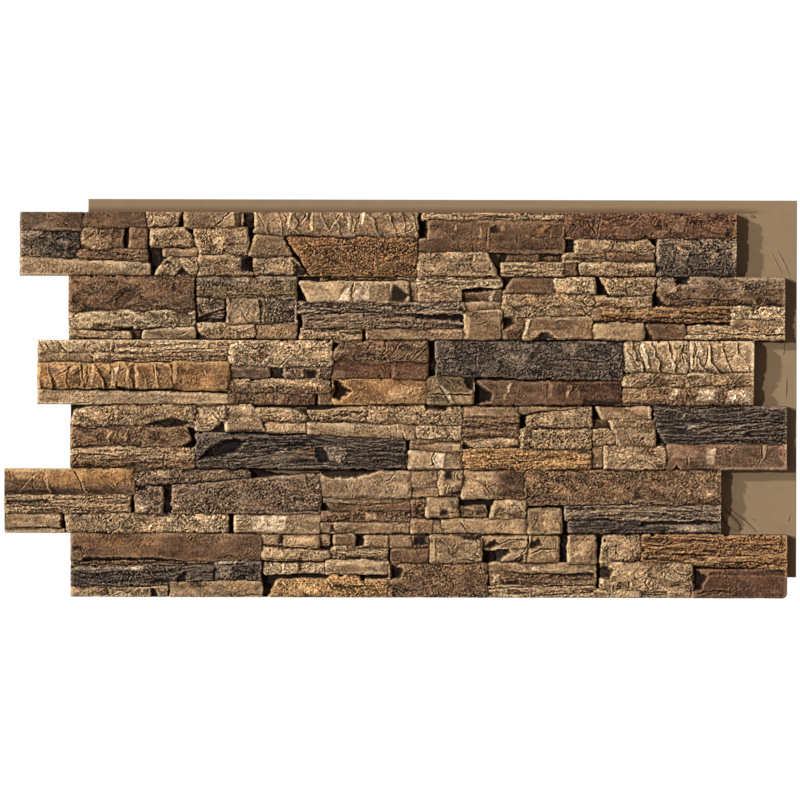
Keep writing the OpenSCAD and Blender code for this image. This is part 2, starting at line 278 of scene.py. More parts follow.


# ground, second tone, dark wash that is also painted shade, pale brush that is also painted highlight
FINISHES = {
    "buff": ("a08668", "866c50", "3e2e20", "d6c2a0"),
    "tan": ("987d5f", "7c6248", "3c2b1d", "d0ba96"),
    "pale": ("a38a6b", "8a7154", "4a3827", "decba9"),
    "gold": ("9c7650", "805c3a", "3c2816", "d6b482"),
    "rust": ("805a3c", "5c3e29", "26180f", "c8a274"),
    "brown": ("84664b", "694f3a", "2e2016", "b29676"),
    "walnut": ("7f6349", "644b37", "2a1d14", "a98d6f"),
    "redbrown": ("78563f", "5e4230", "2a1b12", "aa8668"),
    "pink": ("866850", "6e5440", "35261b", "bca084"),
    "greybrown": ("7e6752", "645140", "2c221a", "b6a086"),
    "grey": ("6a5846", "4e4033", "221911", "c4b096"),
    "slate": ("463c33", "332a23", "1c1611", "a09080"),
    # painted shadow: a dark finish for the set-back pieces that lie in shade in the hollows
    "shadow": ("563f2a", "46331f", "22160d", "5a442e"),
    "olive": ("7c684c", "64523a", "2c2216", "b8a27c"),
}
GROUNDS = {name: [tone(c) for c in codes] for name, codes in FINISHES.items()}
SHADE = tone("5a4430")
print(len(FINISHES), "finishes")

# %% [markdown]
# ## The stones
# Each row is one stone, read off the photograph with a ruler: its left and right end, its lower and
# upper edge, the height of its face above the back, the kind of face and its finish. What follows is
# only there where the stone isn't a plain block: `lean` moves the top corner of the left and right
# end, `rise` lifts the right end of the top and bottom edge, and `two` sprays a second finish from
# one side. The section across each kind of face is the one that the part's source cuts.

# %% Courses one and two
COURSES = []
COURSES.append([
    (23, 120, 71, 100, 33, "smooth", "greybrown", dict(two=("brown", "right"))),
    (22, 111, 29, 70, 34, "split", "grey", dict(lean=(0, 7), two=("slate", "right"))),
    (23, 225, 1, 28, 36, "smooth", "buff", dict(rise=(-10, 0))),
    (120, 221, 76, 100, 32, "smooth", "walnut", dict(lean=(8, 0))),
    (117, 183, 42, 74, 30, "split", "brown", dict(lean=(4, 0), two=("tan", "left"))),
    (195, 220, 42, 74, 29, "smooth", "pink", {}),
    (113, 221, 25, 40, 31, "strata", "brown", dict(rise=(0, -5))),
    (222, 267, 76, 100, 34, "split", "tan", dict(lean=(0, 8))),
    (281, 369, 75, 100, 35, "smooth", "tan", {}),
    (228, 300, 46, 73, 33, "split", "tan", dict(lean=(0, -18))),
    (303, 378, 33, 73, 37, "grit", "tan", dict(lean=(-7, 0))),
    (248, 301, 31, 42, 30, "smooth", "tan", {}),
    (234, 300, 1, 28, 35, "split", "tan", dict(lean=(17, 0))),
    (302, 386, 1, 30, 36, "split", "tan", dict(lean=(0, -6))),
    (388, 475, 1, 30, 33, "split", "tan", dict(lean=(0, -28))),
    (379, 446, 33, 63, 34, "smooth", "tan", dict(lean=(12, -13))),
    (390, 641, 66, 100, 36, "chisel", "tan", dict(rise=(0, -5), strong=0.6)),
    (478, 641, 1, 59, 37, "grit", "rust", dict(lean=(-38, 0))),
    (650, 867, 87, 100, 33, "strata", "tan", {}),
    (643, 869, 39, 85, 35, "smooth", "brown", dict(lean=(8, 0))),
    (643, 767, 1, 36, 36, "split", "tan", dict(lean=(0, -17))),
    (783, 830, 22, 36, 28, "smooth", "brown", {}),
    (834, 867, 22, 36, 27, "split", "brown", {}),
    (869, 935, 21, 36, 29, "strata", "tan", {}),
    (936, 1010, 21, 36, 28, "split", "brown", {}),
    (773, 868, 1, 20, 32, "strata", "tan", {}),
    (869, 889, 2, 19, 29, "smooth", "brown", {}),
    (895, 1010, 1, 20, 33, "split", "tan", {}),
    (888, 1014, 38, 59, 34, "split", "tan", dict(lean=(0, -14))),
    (871, 1140, 61, 100, 36, "split", "redbrown", {}),
    (1016, 1140, 1, 59, 35, "grit", "slate", dict(two=("grey", "top"))),
    # set-back pieces coloured as painted shadow in the hollows
    (225, 240, 14, 44, 22, "split", "shadow", {}),
    (371, 389, 75, 99, 22, "split", "shadow", {}),
    (871, 887, 39, 59, 22, "split", "shadow", {}),
])
COURSES.append([
    (99, 295, 47, 99, 36, "split", "walnut", {}),
    (99, 295, 20, 46, 34, "split", "pale", {}),
    (99, 197, 2, 18, 32, "split", "tan", dict(rise=(-6, 0))),
    (198, 211, 3, 15, 26, "smooth", "brown", {}),
    (217, 295, 2, 14, 33, "smooth", "pale", dict(rise=(5, 0))),
    (301, 453, 68, 98, 35, "grit", "grey", dict(two=("olive", "bottom"))),
    (301, 341, 28, 66, 31, "split", "grey", {}),
    (347, 453, 26, 67, 36, "split", "greybrown", dict(two=("grey", "right"))),
    (305, 390, 4, 25, 33, "split", "tan", dict(lean=(-5, 0))),
    (392, 453, 4, 25, 32, "smooth", "tan", {}),
    (473, 627, 60, 90, 36, "smooth", "buff", dict(lean=(-14, 0))),
    (492, 641, 91, 99, 30, "strata", "tan", {}),
    (629, 641, 60, 89, 32, "smooth", "tan", {}),
    (457, 715, 42, 58, 34, "strata", "grey", {}),
    (465, 715, 20, 40, 35, "strata", "greybrown", {}),
    (461, 553, 2, 18, 31, "strata", "tan", {}),
    (564, 714, 2, 18, 33, "smooth", "tan", {}),
    (643, 772, 84, 98, 33, "strata", "pale", {}),
    (643, 709, 60, 83, 33, "split", "tan", {}),
    (710, 772, 61, 81, 31, "smooth", "brown", {}),
    (717, 772, 47, 59, 31, "smooth", "tan", {}),
    (716, 772, 3, 45, 36, "smooth", "tan", {}),
    (776, 854, 75, 97, 34, "smooth", "brown", dict(lean=(15, 0))),
    (856, 917, 74, 97, 35, "grit", "pale", {}),
    (775, 915, 54, 73, 34, "grit", "tan", {}),
    (775, 914, 37, 53, 33, "grit", "tan", {}),
    (775, 807, 3, 36, 35, "split", "brown", {}),
    (808, 914, 4, 36, 36, "smooth", "tan", {}),
    (942, 1006, 72, 98, 34, "grit", "tan", dict(lean=(-15, 10))),
    (918, 1006, 54, 70, 33, "split", "tan", {}),
    (1014, 1215, 55, 99, 37, "split", "walnut", dict(lean=(4, 0), two=("greybrown", "top"))),
    (913, 928, 33, 51, 34, "smooth", "tan", dict(round=6)),
    (922, 1130, 31, 53, 35, "strata", "rust", {}),
    (1131, 1215, 35, 54, 34, "grit", "pale", {}),
    (1131, 1215, 24, 34, 31, "smooth", "pale", {}),
    (918, 993, 3, 26, 36, "smooth", "tan", {}),
    (997, 1057, 4, 25, 34, "smooth", "brown", {}),
    (1059, 1215, 3, 23, 33, "strata", "tan", {}),
    # a set-back piece coloured as painted shadow in a hollow
    (919, 941, 72, 97, 22, "split", "shadow", {}),
])
print([len(c) for c in COURSES], "stones")

# %% Courses three and four
COURSES.append([
    (51, 168, 80, 100, 34, "split", "pale", {}),
    (171, 349, 82, 100, 33, "strata", "pale", {}),
    (51, 140, 65, 79, 31, "smooth", "tan", {}),
    (141, 349, 67, 80, 32, "strata", "tan", {}),
    (51, 260, 27, 63, 37, "chisel", "gold", {}),
    (261, 349, 24, 65, 35, "smooth", "gold", {}),
    (51, 349, 1, 23, 34, "smooth", "pale", dict(rise=(-8, 0))),
    (351, 508, 61, 99, 36, "grit", "buff", {}),
    (351, 411, 42, 60, 31, "smooth", "greybrown", {}),
    (436, 508, 41, 59, 32, "grit", "greybrown", {}),
    (351, 506, 20, 39, 35, "grit", "brown", dict(two=("tan", "top"))),
    (351, 482, 1, 18, 32, "split", "walnut", {}),
    (491, 509, 1, 18, 33, "smooth", "brown", {}),
    (511, 657, 69, 99, 35, "split", "brown", {}),
    (511, 601, 41, 67, 33, "smooth", "redbrown", {}),
    (603, 657, 41, 67, 34, "smooth", "redbrown", {}),
    (512, 657, 1, 38, 36, "smooth", "gold", {}),
    (672, 960, 47, 100, 36, "grit", "slate", dict(rise=(0, -7))),
    (659, 729, 1, 44, 36, "smooth", "olive", {}),
    (731, 957, 2, 36, 35, "smooth", "walnut", dict(two=("redbrown", "right"))),
    (963, 1063, 53, 100, 36, "chisel", "pale", dict(round=7)),
    (1064, 1167, 53, 100, 36, "chisel", "pale", dict(round=7)),
    (963, 1061, 30, 51, 34, "split", "tan", {}),
    (1062, 1167, 30, 51, 34, "split", "tan", {}),
    (963, 1167, 1, 27, 35, "split", "brown", {}),
    # set-back pieces coloured as painted shadow in the hollows
    (413, 435, 42, 60, 22, "split", "shadow", {}),
    (659, 671, 46, 99, 21, "split", "shadow", {}),
])
COURSES.append([
    (102, 296, 66, 97, 35, "grit", "tan", dict(lean=(12, 0))),
    (102, 214, 36, 65, 34, "split", "brown", {}),
    (215, 294, 34, 63, 35, "split", "brown", dict(lean=(0, -10))),
    (102, 296, 1, 33, 36, "strata", "brown", dict(two=("tan", "top"))),
    (299, 343, 60, 98, 34, "split", "pale", {}),
    (345, 406, 59, 98, 35, "smooth", "pale", dict(lean=(0, -20))),
    (400, 472, 73, 93, 35, "split", "tan", dict(lean=(-9, 0), round=5)),
    (440, 563, 73, 87, 34, "strata", "tan", dict(rise=(10, 0))),
    (407, 470, 58, 71, 33, "smooth", "pale", {}),
    (472, 638, 54, 71, 34, "smooth", "pale", dict(rise=(-3, -8))),
    (640, 711, 49, 68, 33, "split", "pale", {}),
    (632, 711, 41, 48, 30, "smooth", "tan", {}),
    (566, 711, 70, 97, 36, "grit", "tan", {}),
    (299, 628, 2, 55, 36, "slate", "slate", dict(lean=(0, -8), rise=(-9, 0), round=6)),
    (631, 711, 29, 40, 31, "smooth", "tan", {}),
    (630, 711, 1, 27, 34, "smooth", "pale", {}),
    (714, 800, 82, 97, 32, "smooth", "tan", {}),
    (714, 800, 50, 80, 35, "strata", "brown", {}),
    (714, 800, 33, 48, 33, "split", "tan", {}),
    (804, 900, 88, 98, 32, "smooth", "tan", dict(rise=(0, 9))),
    (814, 912, 66, 82, 36, "grit", "tan", dict(rise=(15, 0))),
    (803, 911, 34, 62, 35, "grit", "tan", {}),
    (715, 911, 1, 31, 34, "strata", "gold", {}),
    (930, 1005, 79, 97, 34, "smooth", "tan", dict(lean=(-9, 0))),
    (916, 940, 63, 76, 26, "smooth", "walnut", {}),
    (915, 953, 39, 62, 32, "split", "tan", dict(lean=(0, -8))),
    (955, 1011, 38, 77, 35, "split", "tan", dict(lean=(-14, 0))),
    (915, 932, 4, 35, 31, "smooth", "tan", {}),
    (934, 1028, 1, 36, 36, "split", "tan", {}),
    (1010, 1218, 76, 99, 36, "slate", "slate", {}),
    (1015, 1218, 41, 74, 35, "slate", "slate", {}),
    (1031, 1218, 1, 39, 36, "smooth", "pink", {}),
])
print([len(c) for c in COURSES], "stones")

# %% Courses five and six
COURSES.append([
    (0, 202, 61, 99, 36, "smooth", "gold", dict(two=("brown", "bottom"))),
    (0, 196, 32, 59, 34, "strata", "tan", {}),
    (0, 91, 9, 29, 32, "smooth", "tan", {}),
    (3, 92, 1, 8, 30, "smooth", "tan", {}),
    (97, 348, 1, 30, 34, "grit", "tan", dict(two=("pale", "right"))),
    (205, 380, 75, 97, 35, "grit", "greybrown", dict(rise=(0, 10))),
    (205, 246, 32, 72, 34, "grit", "greybrown", {}),
    (262, 491, 33, 72, 37, "grit", "greybrown", dict(rise=(20, 0))),
    (360, 491, 1, 30, 33, "smooth", "pale", {}),
    (493, 631, 57, 96, 35, "smooth", "buff", {}),
    (493, 631, 48, 56, 31, "smooth", "tan", {}),
    (497, 631, 36, 47, 30, "smooth", "brown", {}),
    (494, 631, 20, 34, 32, "split", "brown", {}),
    (494, 513, 1, 17, 30, "smooth", "tan", {}),
    (515, 631, 1, 17, 31, "smooth", "tan", {}),
    (634, 675, 73, 97, 35, "smooth", "tan", {}),
    (634, 675, 58, 71, 33, "smooth", "tan", {}),
    (677, 711, 58, 97, 36, "split", "tan", {}),
    (713, 811, 56, 97, 36, "smooth", "tan", dict(two=("brown", "right"))),
    (634, 657, 27, 54, 31, "split", "brown", {}),
    (658, 706, 28, 55, 34, "smooth", "tan", {}),
    (694, 750, 25, 43, 30, "split", "brown", dict(lean=(14, 0))),
    (755, 812, 24, 54, 34, "split", "tan", dict(lean=(10, 0))),
    (634, 667, 1, 22, 33, "smooth", "tan", {}),
    (668, 682, 1, 22, 31, "smooth", "tan", {}),
    (683, 812, 1, 22, 34, "smooth", "tan", {}),
    (813, 1116, 47, 98, 37, "grit", "brown", {}),
    (815, 866, 1, 39, 34, "smooth", "tan", {}),
    (874, 1116, 22, 46, 35, "slate", "grey", {}),
    (879, 1116, 1, 20, 32, "slate", "slate", dict(strong=0.7)),
    # a set-back piece coloured as painted shadow in a hollow
    (246, 262, 32, 73, 21, "split", "shadow", {}),
])
COURSES.append([
    (103, 399, 59, 98, 36, "smooth", "brown", {}),
    (106, 330, 50, 58, 29, "strata", "walnut", {}),
    (103, 326, 19, 48, 35, "slate", "slate", {}),
    (328, 399, 27, 56, 34, "split", "slate", {}),
    (103, 254, 1, 17, 33, "split", "tan", {}),
    (260, 400, 1, 25, 35, "smooth", "tan", {}),
    (402, 433, 82, 98, 32, "smooth", "tan", {}),
    (436, 489, 80, 98, 33, "smooth", "tan", {}),
    (490, 505, 83, 98, 30, "smooth", "tan", {}),
    (513, 545, 80, 97, 31, "smooth", "tan", {}),
    (562, 597, 80, 96, 32, "smooth", "tan", {}),
    (402, 507, 60, 79, 34, "split", "tan", dict(rise=(-6, 0))),
    (510, 597, 60, 78, 34, "strata", "tan", {}),
    (405, 432, 39, 54, 29, "grit", "pale", {}),
    (433, 457, 39, 54, 30, "grit", "pale", {}),
    (458, 499, 39, 54, 29, "grit", "pale", {}),
    (501, 597, 38, 57, 34, "smooth", "pale", {}),
    (412, 597, 1, 28, 36, "grit", "gold", dict(lean=(14, 0))),
    (497, 560, 20, 34, 35, "grit", "gold", dict(lean=(12, -10))),
    (600, 634, 79, 97, 32, "smooth", "tan", {}),
    (635, 661, 79, 97, 31, "split", "walnut", {}),
    (603, 660, 55, 77, 33, "smooth", "brown", {}),
    (663, 741, 56, 97, 36, "smooth", "tan", {}),
    (742, 814, 76, 96, 33, "smooth", "tan", {}),
    (766, 812, 57, 75, 32, "smooth", "tan", {}),
    (815, 862, 77, 97, 32, "smooth", "tan", {}),
    (813, 862, 56, 76, 31, "smooth", "tan", dict(lean=(4, 0))),
    (878, 919, 56, 97, 35, "smooth", "tan", {}),
    (600, 751, 2, 53, 37, "grit", "brown", {}),
    (754, 919, 42, 54, 33, "smooth", "tan", {}),
    (756, 919, 20, 40, 34, "strata", "brown", {}),
    (753, 919, 2, 18, 34, "strata", "tan", {}),
    (927, 989, 58, 97, 35, "split", "tan", dict(lean=(7, 0))),
    (992, 1218, 58, 98, 37, "strata", "rust", dict(rise=(0, -12))),
    (929, 1069, 13, 56, 36, "split", "tan", {}),
    (919, 989, 1, 12, 31, "smooth", "pale", {}),
    (990, 1031, 1, 11, 28, "smooth", "tan", {}),
    (1032, 1069, 1, 12, 31, "smooth", "pale", {}),
    (1071, 1218, 1, 44, 36, "smooth", "redbrown", {}),
    # set-back pieces coloured as painted shadow in the hollows
    (863, 877, 56, 97, 22, "split", "shadow", {}),
    (920, 932, 15, 97, 21, "split", "shadow", {}),
])
print(sum(len(c) for c in COURSES), "stones in all")

# %% [markdown]
# ## Laying the stones in relief
# A course starts as a flat grid with one point to about every millimetre. Each stone then lifts the
# points inside its outline: the outline is bent by a little noise so that no edge is ruled, the face
# takes the section and the relief of its kind, and its rim is worn round. The tallest stone at a
# point wins, and where there is none the rough bed stays.

# %% The outline and the section of a stone
SECTIONS = {
    "smooth": ((0, 0.05, 0.5, 0.95, 1), (0.9, 0.98, 1, 0.98, 0.9)),
    "split": ((0, 0.12, 0.58, 0.88, 1), (0.8, 0.9, 1, 0.95, 0.82)),
    "grit": ((0, 0.14, 0.5, 0.86, 1), (0.78, 0.92, 1, 0.93, 0.8)),
    "strata": ((0, 0.1, 0.36, 0.68, 1), (0.8, 0.88, 0.94, 1, 0.92)),
    "slate": ((0, 0.12, 0.5, 0.9, 1), (0.78, 0.92, 1, 0.97, 0.86)),
    "chisel": ((0, 0.14, 0.5, 0.88, 1), (0.8, 0.92, 1, 0.95, 0.84)),
}
RIM = 0.9
REACH = 2.1


def inside(x, y, row):
    """How far inside the stone's outline each point lies, and its share along and up the face."""
    left, right, foot, top = row[:4]
    lean = row[7].get("lean", (0, 0))
    rise = row[7].get("rise", (0, 0))
    up = (y - foot) / (top - foot)
    along = (x - left) / (right - left)
    a = x - (left + lean[0] * up)
    b = (right + lean[1] * up) - x
    c = y - (foot + rise[1] * along)
    d = (top + rise[0] * along) - y
    side = np.minimum(a, b)
    edge = np.minimum(c, d)
    round_off = row[7].get("round", 1.8)
    corner = round_off - np.hypot(np.clip(round_off - side, 0, None), np.clip(round_off - edge, 0, None))
    depth = np.where((side < round_off) & (edge < round_off), corner, np.minimum(side, edge))
    return depth, a / np.maximum(a + b, 1), c / np.maximum(c + d, 1)


def lay_stone(x, y, row, seed):
    """One stone over part of a course: its face, the same with its edges let down, and its outline."""
    kind = row[5]
    loose = 0.4 if kind == "smooth" else 1.0
    bend_x = COMMON * (rough(x / 19, y / 13, 701, 2) + 0.4 * waves(x / 5, y / 5, 703)) + loose * 0.7 * waves(x / 6, y / 5, seed + 70)
    bend_y = COMMON * (rough(x / 31, y / 17, 702, 2) + 0.4 * waves(x / 6, y / 5, 704)) + loose * 0.6 * waves(x / 9, y / 5, seed + 72)
    depth, along, up = inside(x + bend_x, y + bend_y, row)
    chips = loose * 8 * np.clip(rough(x / 9, y / 7, seed + 74, 2) - 0.42, 0, 1)
    depth = depth + REACH + 0.6 * rough(x / 37, y / 9, seed + 76, 2) - chips
    worn = np.clip(depth / 5.0, 0, 1)
    spots, shares = SECTIONS[kind]
    section = (0.4 + 0.6 * np.interp(up, spots, shares)) * np.interp(along, (0, 0.03, 0.97, 1), (0.96, 1, 1, 0.96))
    proud = (row[4] - BED) * section
    tilt = row[7].get("tilt", (2.2 * scramble(np.float64(seed), np.float64(7), 1) - 1.1,
                               2.6 * scramble(np.float64(seed), np.float64(8), 1) - 1.3))
    relief = KINDS[kind](x, y, seed) * (0.6 + 0.4 * worn) * row[7].get("strong", 1.0)
    relief = relief + tilt[0] * (along - 0.5) * 2 + tilt[1] * (up - 0.5) * 2
    relief = relief - 2.2 * (1 - worn) ** 3
    face = BED + np.maximum(proud + relief - 2.0, 2)
    snag = np.clip(0.5 + 0.8 * rough(x / 23, y / 9, seed + 75, 2), 0, 1)
    edge = np.clip(depth / RIM, 0, 1)
    down = (0.8 + 5.0 * snag ** 2) * (1 - edge * (2 - edge)) + 9 * np.clip(-depth, 0, None)
    return face, face - down, depth, along, up


COMMON = 1.7
print("rim", RIM, "mm")

# %% [markdown]
# ## Colouring the relief
# The colour of a point follows from the relief, as it does when the moulding is painted: the wash is
# strongest where the surface lies below its surroundings, and the pale brush where it stands above
# them. The wash also paints shade into the low places, and the brush paints highlights onto the high
# ones. So both are worked out from the height less a blurred copy of the height.

# %% Blur and paint
def blurred(a, cells):
    """A box blur, run along both ways twice."""
    for _ in range(2):
        for axis in (0, 1):
            pad = [(0, 0), (0, 0)]
            pad[axis] = (cells + 1, cells)
            total = np.cumsum(np.pad(a, pad, mode="edge"), axis=axis)
            n = a.shape[axis]
            span = 2 * cells + 1
            if axis == 0:
                a = (total[span:span + n] - total[:n]) / span
            else:
                a = (total[:, span:span + n] - total[:, :n]) / span
    return a


SIDES = {
    "left": lambda u, v: 1 - u,
    "right": lambda u, v: u,
    "top": lambda u, v: v,
    "bottom": lambda u, v: 1 - v,
}


def ground_of(row, x, y, along, up, seed, part, wins):
    """Ground colour over a stone: patches of its second tone, of a second finish from one side, and painted shade
    towards its foot and right end with painted highlight towards its top.
    """
    ground, second, wash, pale = GROUNDS[row[6]]
    patch = np.clip(0.5 + 0.9 * rough(x / 34, y / 17, seed + 80, 4), 0, 1)[..., None]
    colour = ground * patch + second * (1 - patch)
    washed = np.broadcast_to(wash, colour.shape)
    brushed = np.broadcast_to(pale, colour.shape)
    if "two" in row[7]:
        name, side = row[7]["two"]
        other = GROUNDS[name]
        share = SIDES[side](along, up) + 0.25 * rough(x / 14, y / 10, seed + 81, 3)
        share = np.clip((share - 0.5) * 5 + 0.5, 0, 1)[..., None]
        colour = colour * (1 - share) + (other[0] * patch + other[1] * (1 - patch)) * share
        washed = washed * (1 - share) + other[2] * share
        brushed = brushed * (1 - share) + other[3] * share
    loud = SPECKLE[row[5]]
    long, short = GRAINS[row[5]]
    spots = 1.7 * rough(x / 29, y / 13, seed + 85, 2) + 0.4 * rough(x / 9, y / 5, seed + 82, 2)
    spots = spots + 2.0 * scramble(np.rint(3 * x), np.rint(3 * y), seed + 89) - 1.0
    # Painted shade and highlight: each stone is made darker towards its foot and its right end and lighter towards its
    # top, as the lamps fall from the upper left.
    painted_edge_shade = np.clip(1 - up / 0.28, 0, 1) + 0.7 * np.clip((along - 0.92) / 0.08, 0, 1)
    spots = spots + 0.35 * np.clip((up - 0.7) / 0.3, 0, 1) - (1.1 + 1.2 * rough(x / 41, y / 9, seed + 79, 2)) * painted_edge_shade
    spots = spots + 1.1 * waves((x + 0.4 * y) / long, (y - 0.4 * x * short / long) / short, seed + 83)
    speckle_and_edge_shade = np.exp(loud * spots)[..., None]
    field["speck"][part] = np.where(wins, speckle_and_edge_shade[..., 0], field["speck"][part])
    warm = 0.10 * rough(x / 22, y / 15, seed + 84, 2)
    cast = np.stack([1 + warm, np.ones_like(warm), 1 - 1.2 * warm], axis=-1)
    size = 0.6 * waves(x / 11, y / 7, seed + 87) - 0.55
    # Pale flecks of the dry brush, which are also painted glints of light on the grains; the pits take the wash.
    flecks_and_glints = 2.2 * np.clip(waves((x + 0.5 * y) / 2.3, (y - 0.3 * x) / 1.7, seed + 86) + size, 0, 1) * BRUSH[row[5]]
    pits = 1.8 * np.clip(waves((x + 0.5 * y) / 2.3, (y - 0.3 * x) / 1.7, seed + 88) + size, 0, 1) * BRUSH[row[5]]
    flecks_and_glints = np.clip(flecks_and_glints, 0, 0.8)[..., None]
    pits = np.clip(pits, 0, 0.8)[..., None]
    colour = colour * speckle_and_edge_shade * cast
    colour = colour * (1 - flecks_and_glints) + brushed * flecks_and_glints
    return colour * (1 - pits) + washed * pits, washed, brushed


GRAINS = {"smooth": (2.6, 2), "split": (3, 2), "grit": (2.8, 2), "strata": (7, 1.8), "slate": (10, 1.6), "chisel": (3, 2)}
SPECKLE = {"smooth": 0.24, "split": 0.4, "grit": 0.55, "strata": 0.42, "slate": 0.42, "chisel": 0.34}
BRUSH = {"smooth": 0.5, "split": 0.8, "grit": 0.9, "strata": 0.75, "slate": 0.6, "chisel": 0.7}
print("sides a second finish can come from:", ", ".join(SIDES))

# %% [markdown]
# ## Marks of the hammer
# The noise makes a stone's grain, but each real stone also has marks of its own: a corner knocked
# off, a facet that catches the light, a crack. Those are listed on the same rulers. A facet
# is a polygon that is lifted and tilted, and a crack is a line that is let in.
# A facet also takes a tint: some tints are the stone's own colours, and some are painted highlights, painted shade and
# painted shadow.

# %% Facets and cracks, listed
# course, corners, lift, slope along, slope up, tint
FACETS = []
# course, points, depth
CRACKS = []
FACETS += [
    (1, ((65, 45), (73, 48), (72, 68), (66, 68)), 0.5, 0.3, 0, "pale"),
    (1, ((86, 30), (93, 30), (102, 52), (98, 56)), 0.5, 0.4, 0, "pale"),
    (1, ((121, 77), (166, 77), (165, 86), (126, 88)), 0, 0, 0.1, "warm"),
    (1, ((150, 43), (165, 43), (168, 72), (155, 72)), 0.4, 0.15, 0, "pale"),
    (1, ((114, 24), (220, 22), (220, 29), (114, 31)), -0.6, 0, 0.3, "pale"),
    (1, ((353, 99), (357, 99), (357, 77), (328, 77)), 0.5, 0.25, 0, "light"),
    (1, ((357, 99), (369, 99), (369, 76), (357, 76)), -1.5, -0.6, 0, None),
    (1, ((318, 36), (338, 36), (346, 60), (322, 62)), 0, 0.25, 0, "light"),
    (1, ((264, 0), (289, 0), (276, 12)), -8, 0, 0, "dark"),
    (1, ((366, 31), (388, 31), (388, 6), (366, 6)), -3, -0.5, 0, "dark"),
    (1, ((404, 2), (450, 2), (446, 24), (412, 27)), 0.8, 0.04, 0, "light"),
    (1, ((450, 0), (478, 0), (452, 21)), -5, -0.3, 0, "dark"),
    (1, ((436, 72), (440, 72), (447, 98), (442, 98)), 0.6, 0.5, 0, "light"),
    (1, ((447, 70), (474, 70), (474, 98), (452, 98)), -0.5, -0.12, 0, None),
    (1, ((474, 70), (480, 70), (480, 100), (475, 100)), 0.8, 0.6, 0, "light"),
    (1, ((482, 72), (506, 72), (518, 98), (482, 98)), 0, -0.08, 0, None),
    (1, ((519, 88), (526, 90), (526, 100), (521, 100)), 0.8, 0.5, 0, "light"),
    (1, ((531, 72), (536, 72), (536, 92), (533, 92)), 0.5, 0.5, 0, "white"),
    (1, ((538, 70), (543, 70), (545, 88), (541, 90)), 0.5, 0.5, 0, "light"),
    (1, ((553, 80), (558, 80), (561, 100), (555, 100)), 0.8, 0.6, 0, "white"),
    (1, ((643, 60), (655, 60), (658, 86), (643, 86)), -16, 0, 0, "dark"),
    (1, ((698, 71), (702, 71), (702, 81), (698, 80)), 0.5, 0.6, 0, "light"),
    (1, ((737, 60), (741, 60), (742, 76), (739, 77)), 0.5, 0.6, 0, "light"),
    (1, ((749, 45), (753, 45), (753, 72), (750, 72)), 0.6, 0.6, 0, "light"),
    (1, ((757, 68), (766, 66), (770, 73), (764, 79), (757, 76)), -3, 0.2, 0, "dark"),
    (1, ((770, 72), (777, 72), (778, 80), (771, 80)), 0.8, 0.2, 0, "pale"),
    (1, ((820, 61), (828, 62), (848, 79), (838, 80)), 0.8, 0.3, -0.1, "warm"),
    (1, ((848, 62), (868, 62), (868, 82), (852, 80)), -0.8, -0.2, 0, None),
    (1, ((750, 38), (769, 38), (769, 12)), -13, 0, 0, "dark"),
    (1, ((724, 22), (728, 22), (733, 34), (729, 34)), 0.6, 0.5, 0, "light"),
    (1, ((1008, 70), (1022, 72), (1020, 86), (1014, 94), (1009, 84)), -1.8, -0.3, 0, "dusk"),
    (1, ((1004, 64), (1030, 67), (1033, 72), (1006, 70)), 0.5, 0.2, 0.1, "warm"),
    (1, ((1035, 72), (1052, 70), (1062, 95), (1045, 96)), 0, 0.1, 0, "pale"),
    (1, ((1120, 62), (1130, 62), (1130, 73), (1122, 74)), -2, 0, 0, "dark"),
    (1, ((1040, 20), (1058, 14), (1064, 40), (1044, 46)), 0.5, 0.15, 0, "pale"),
    (1, ((1124, 18), (1139, 18), (1139, 50), (1128, 52)), 0.5, 0.2, 0, "pale"),
    (1, ((1086, 22), (1100, 16), (1110, 36), (1092, 40)), 0.5, 0.15, 0, "pale"),
]
CRACKS += [
    (1, ((91, 82), (97, 78), (98, 74)), 3),
    (1, ((157, 98), (160, 93), (166, 91)), 2),
    (1, ((198, 26), (221, 29)), 3),
    (1, ((229, 97), (233, 88), (228, 80)), 3),
    (1, ((352, 100), (341, 90), (337, 84), (327, 78)), 5),
    (1, ((262, 68), (266, 63)), 3),
    (1, ((347, 60), (344, 50), (337, 42), (335, 36)), 3),
    (1, ((270, 10), (283, 19)), 2),
    (1, ((403, 2), (405, 12), (402, 20), (408, 27)), 2.5),
    (1, ((434, 98), (438, 88), (434, 74)), 2.5),
    (1, ((471, 99), (466, 92), (460, 82)), 2.5),
    (1, ((521, 98), (515, 88), (508, 80), (506, 76)), 3.5),
    (1, ((552, 99), (551, 88), (548, 80)), 2.5),
    (1, ((497, 73), (501, 70), (506, 73)), 4),
    (1, ((627, 91), (636, 77), (630, 72), (612, 65)), 3.5),
    (1, ((392, 98), (398, 88), (403, 77)), 2.5),
    (1, ((466, 60), (469, 52), (480, 45), (500, 47), (552, 50)), 2.5),
    (1, ((495, 12), (530, 16)), 2),
    (1, ((751, 74), (749, 60), (747, 44)), 2),
    (1, ((819, 64), (828, 60), (848, 62), (868, 60)), 1.8),
    (1, ((846, 42), (840, 50), (838, 46)), 1.8),
    (1, ((713, 20), (718, 10)), 1.8),
    (1, ((907, 84), (914, 74), (919, 64)), 3),
    (1, ((925, 92), (923, 80), (920, 62)), 3),
    (1, ((990, 100), (982, 90), (974, 82)), 3),
    (1, ((1040, 98), (1048, 90), (1055, 98)), 3),
    (1, ((1063, 90), (1059, 78), (1054, 68)), 2),
    (1, ((1112, 84), (1120, 88), (1139, 87)), 2.5),
    (1, ((1010, 96), (1013, 90), (1008, 80)), 2.5),
]
print(len(FACETS), "facets and", len(CRACKS), "cracks")

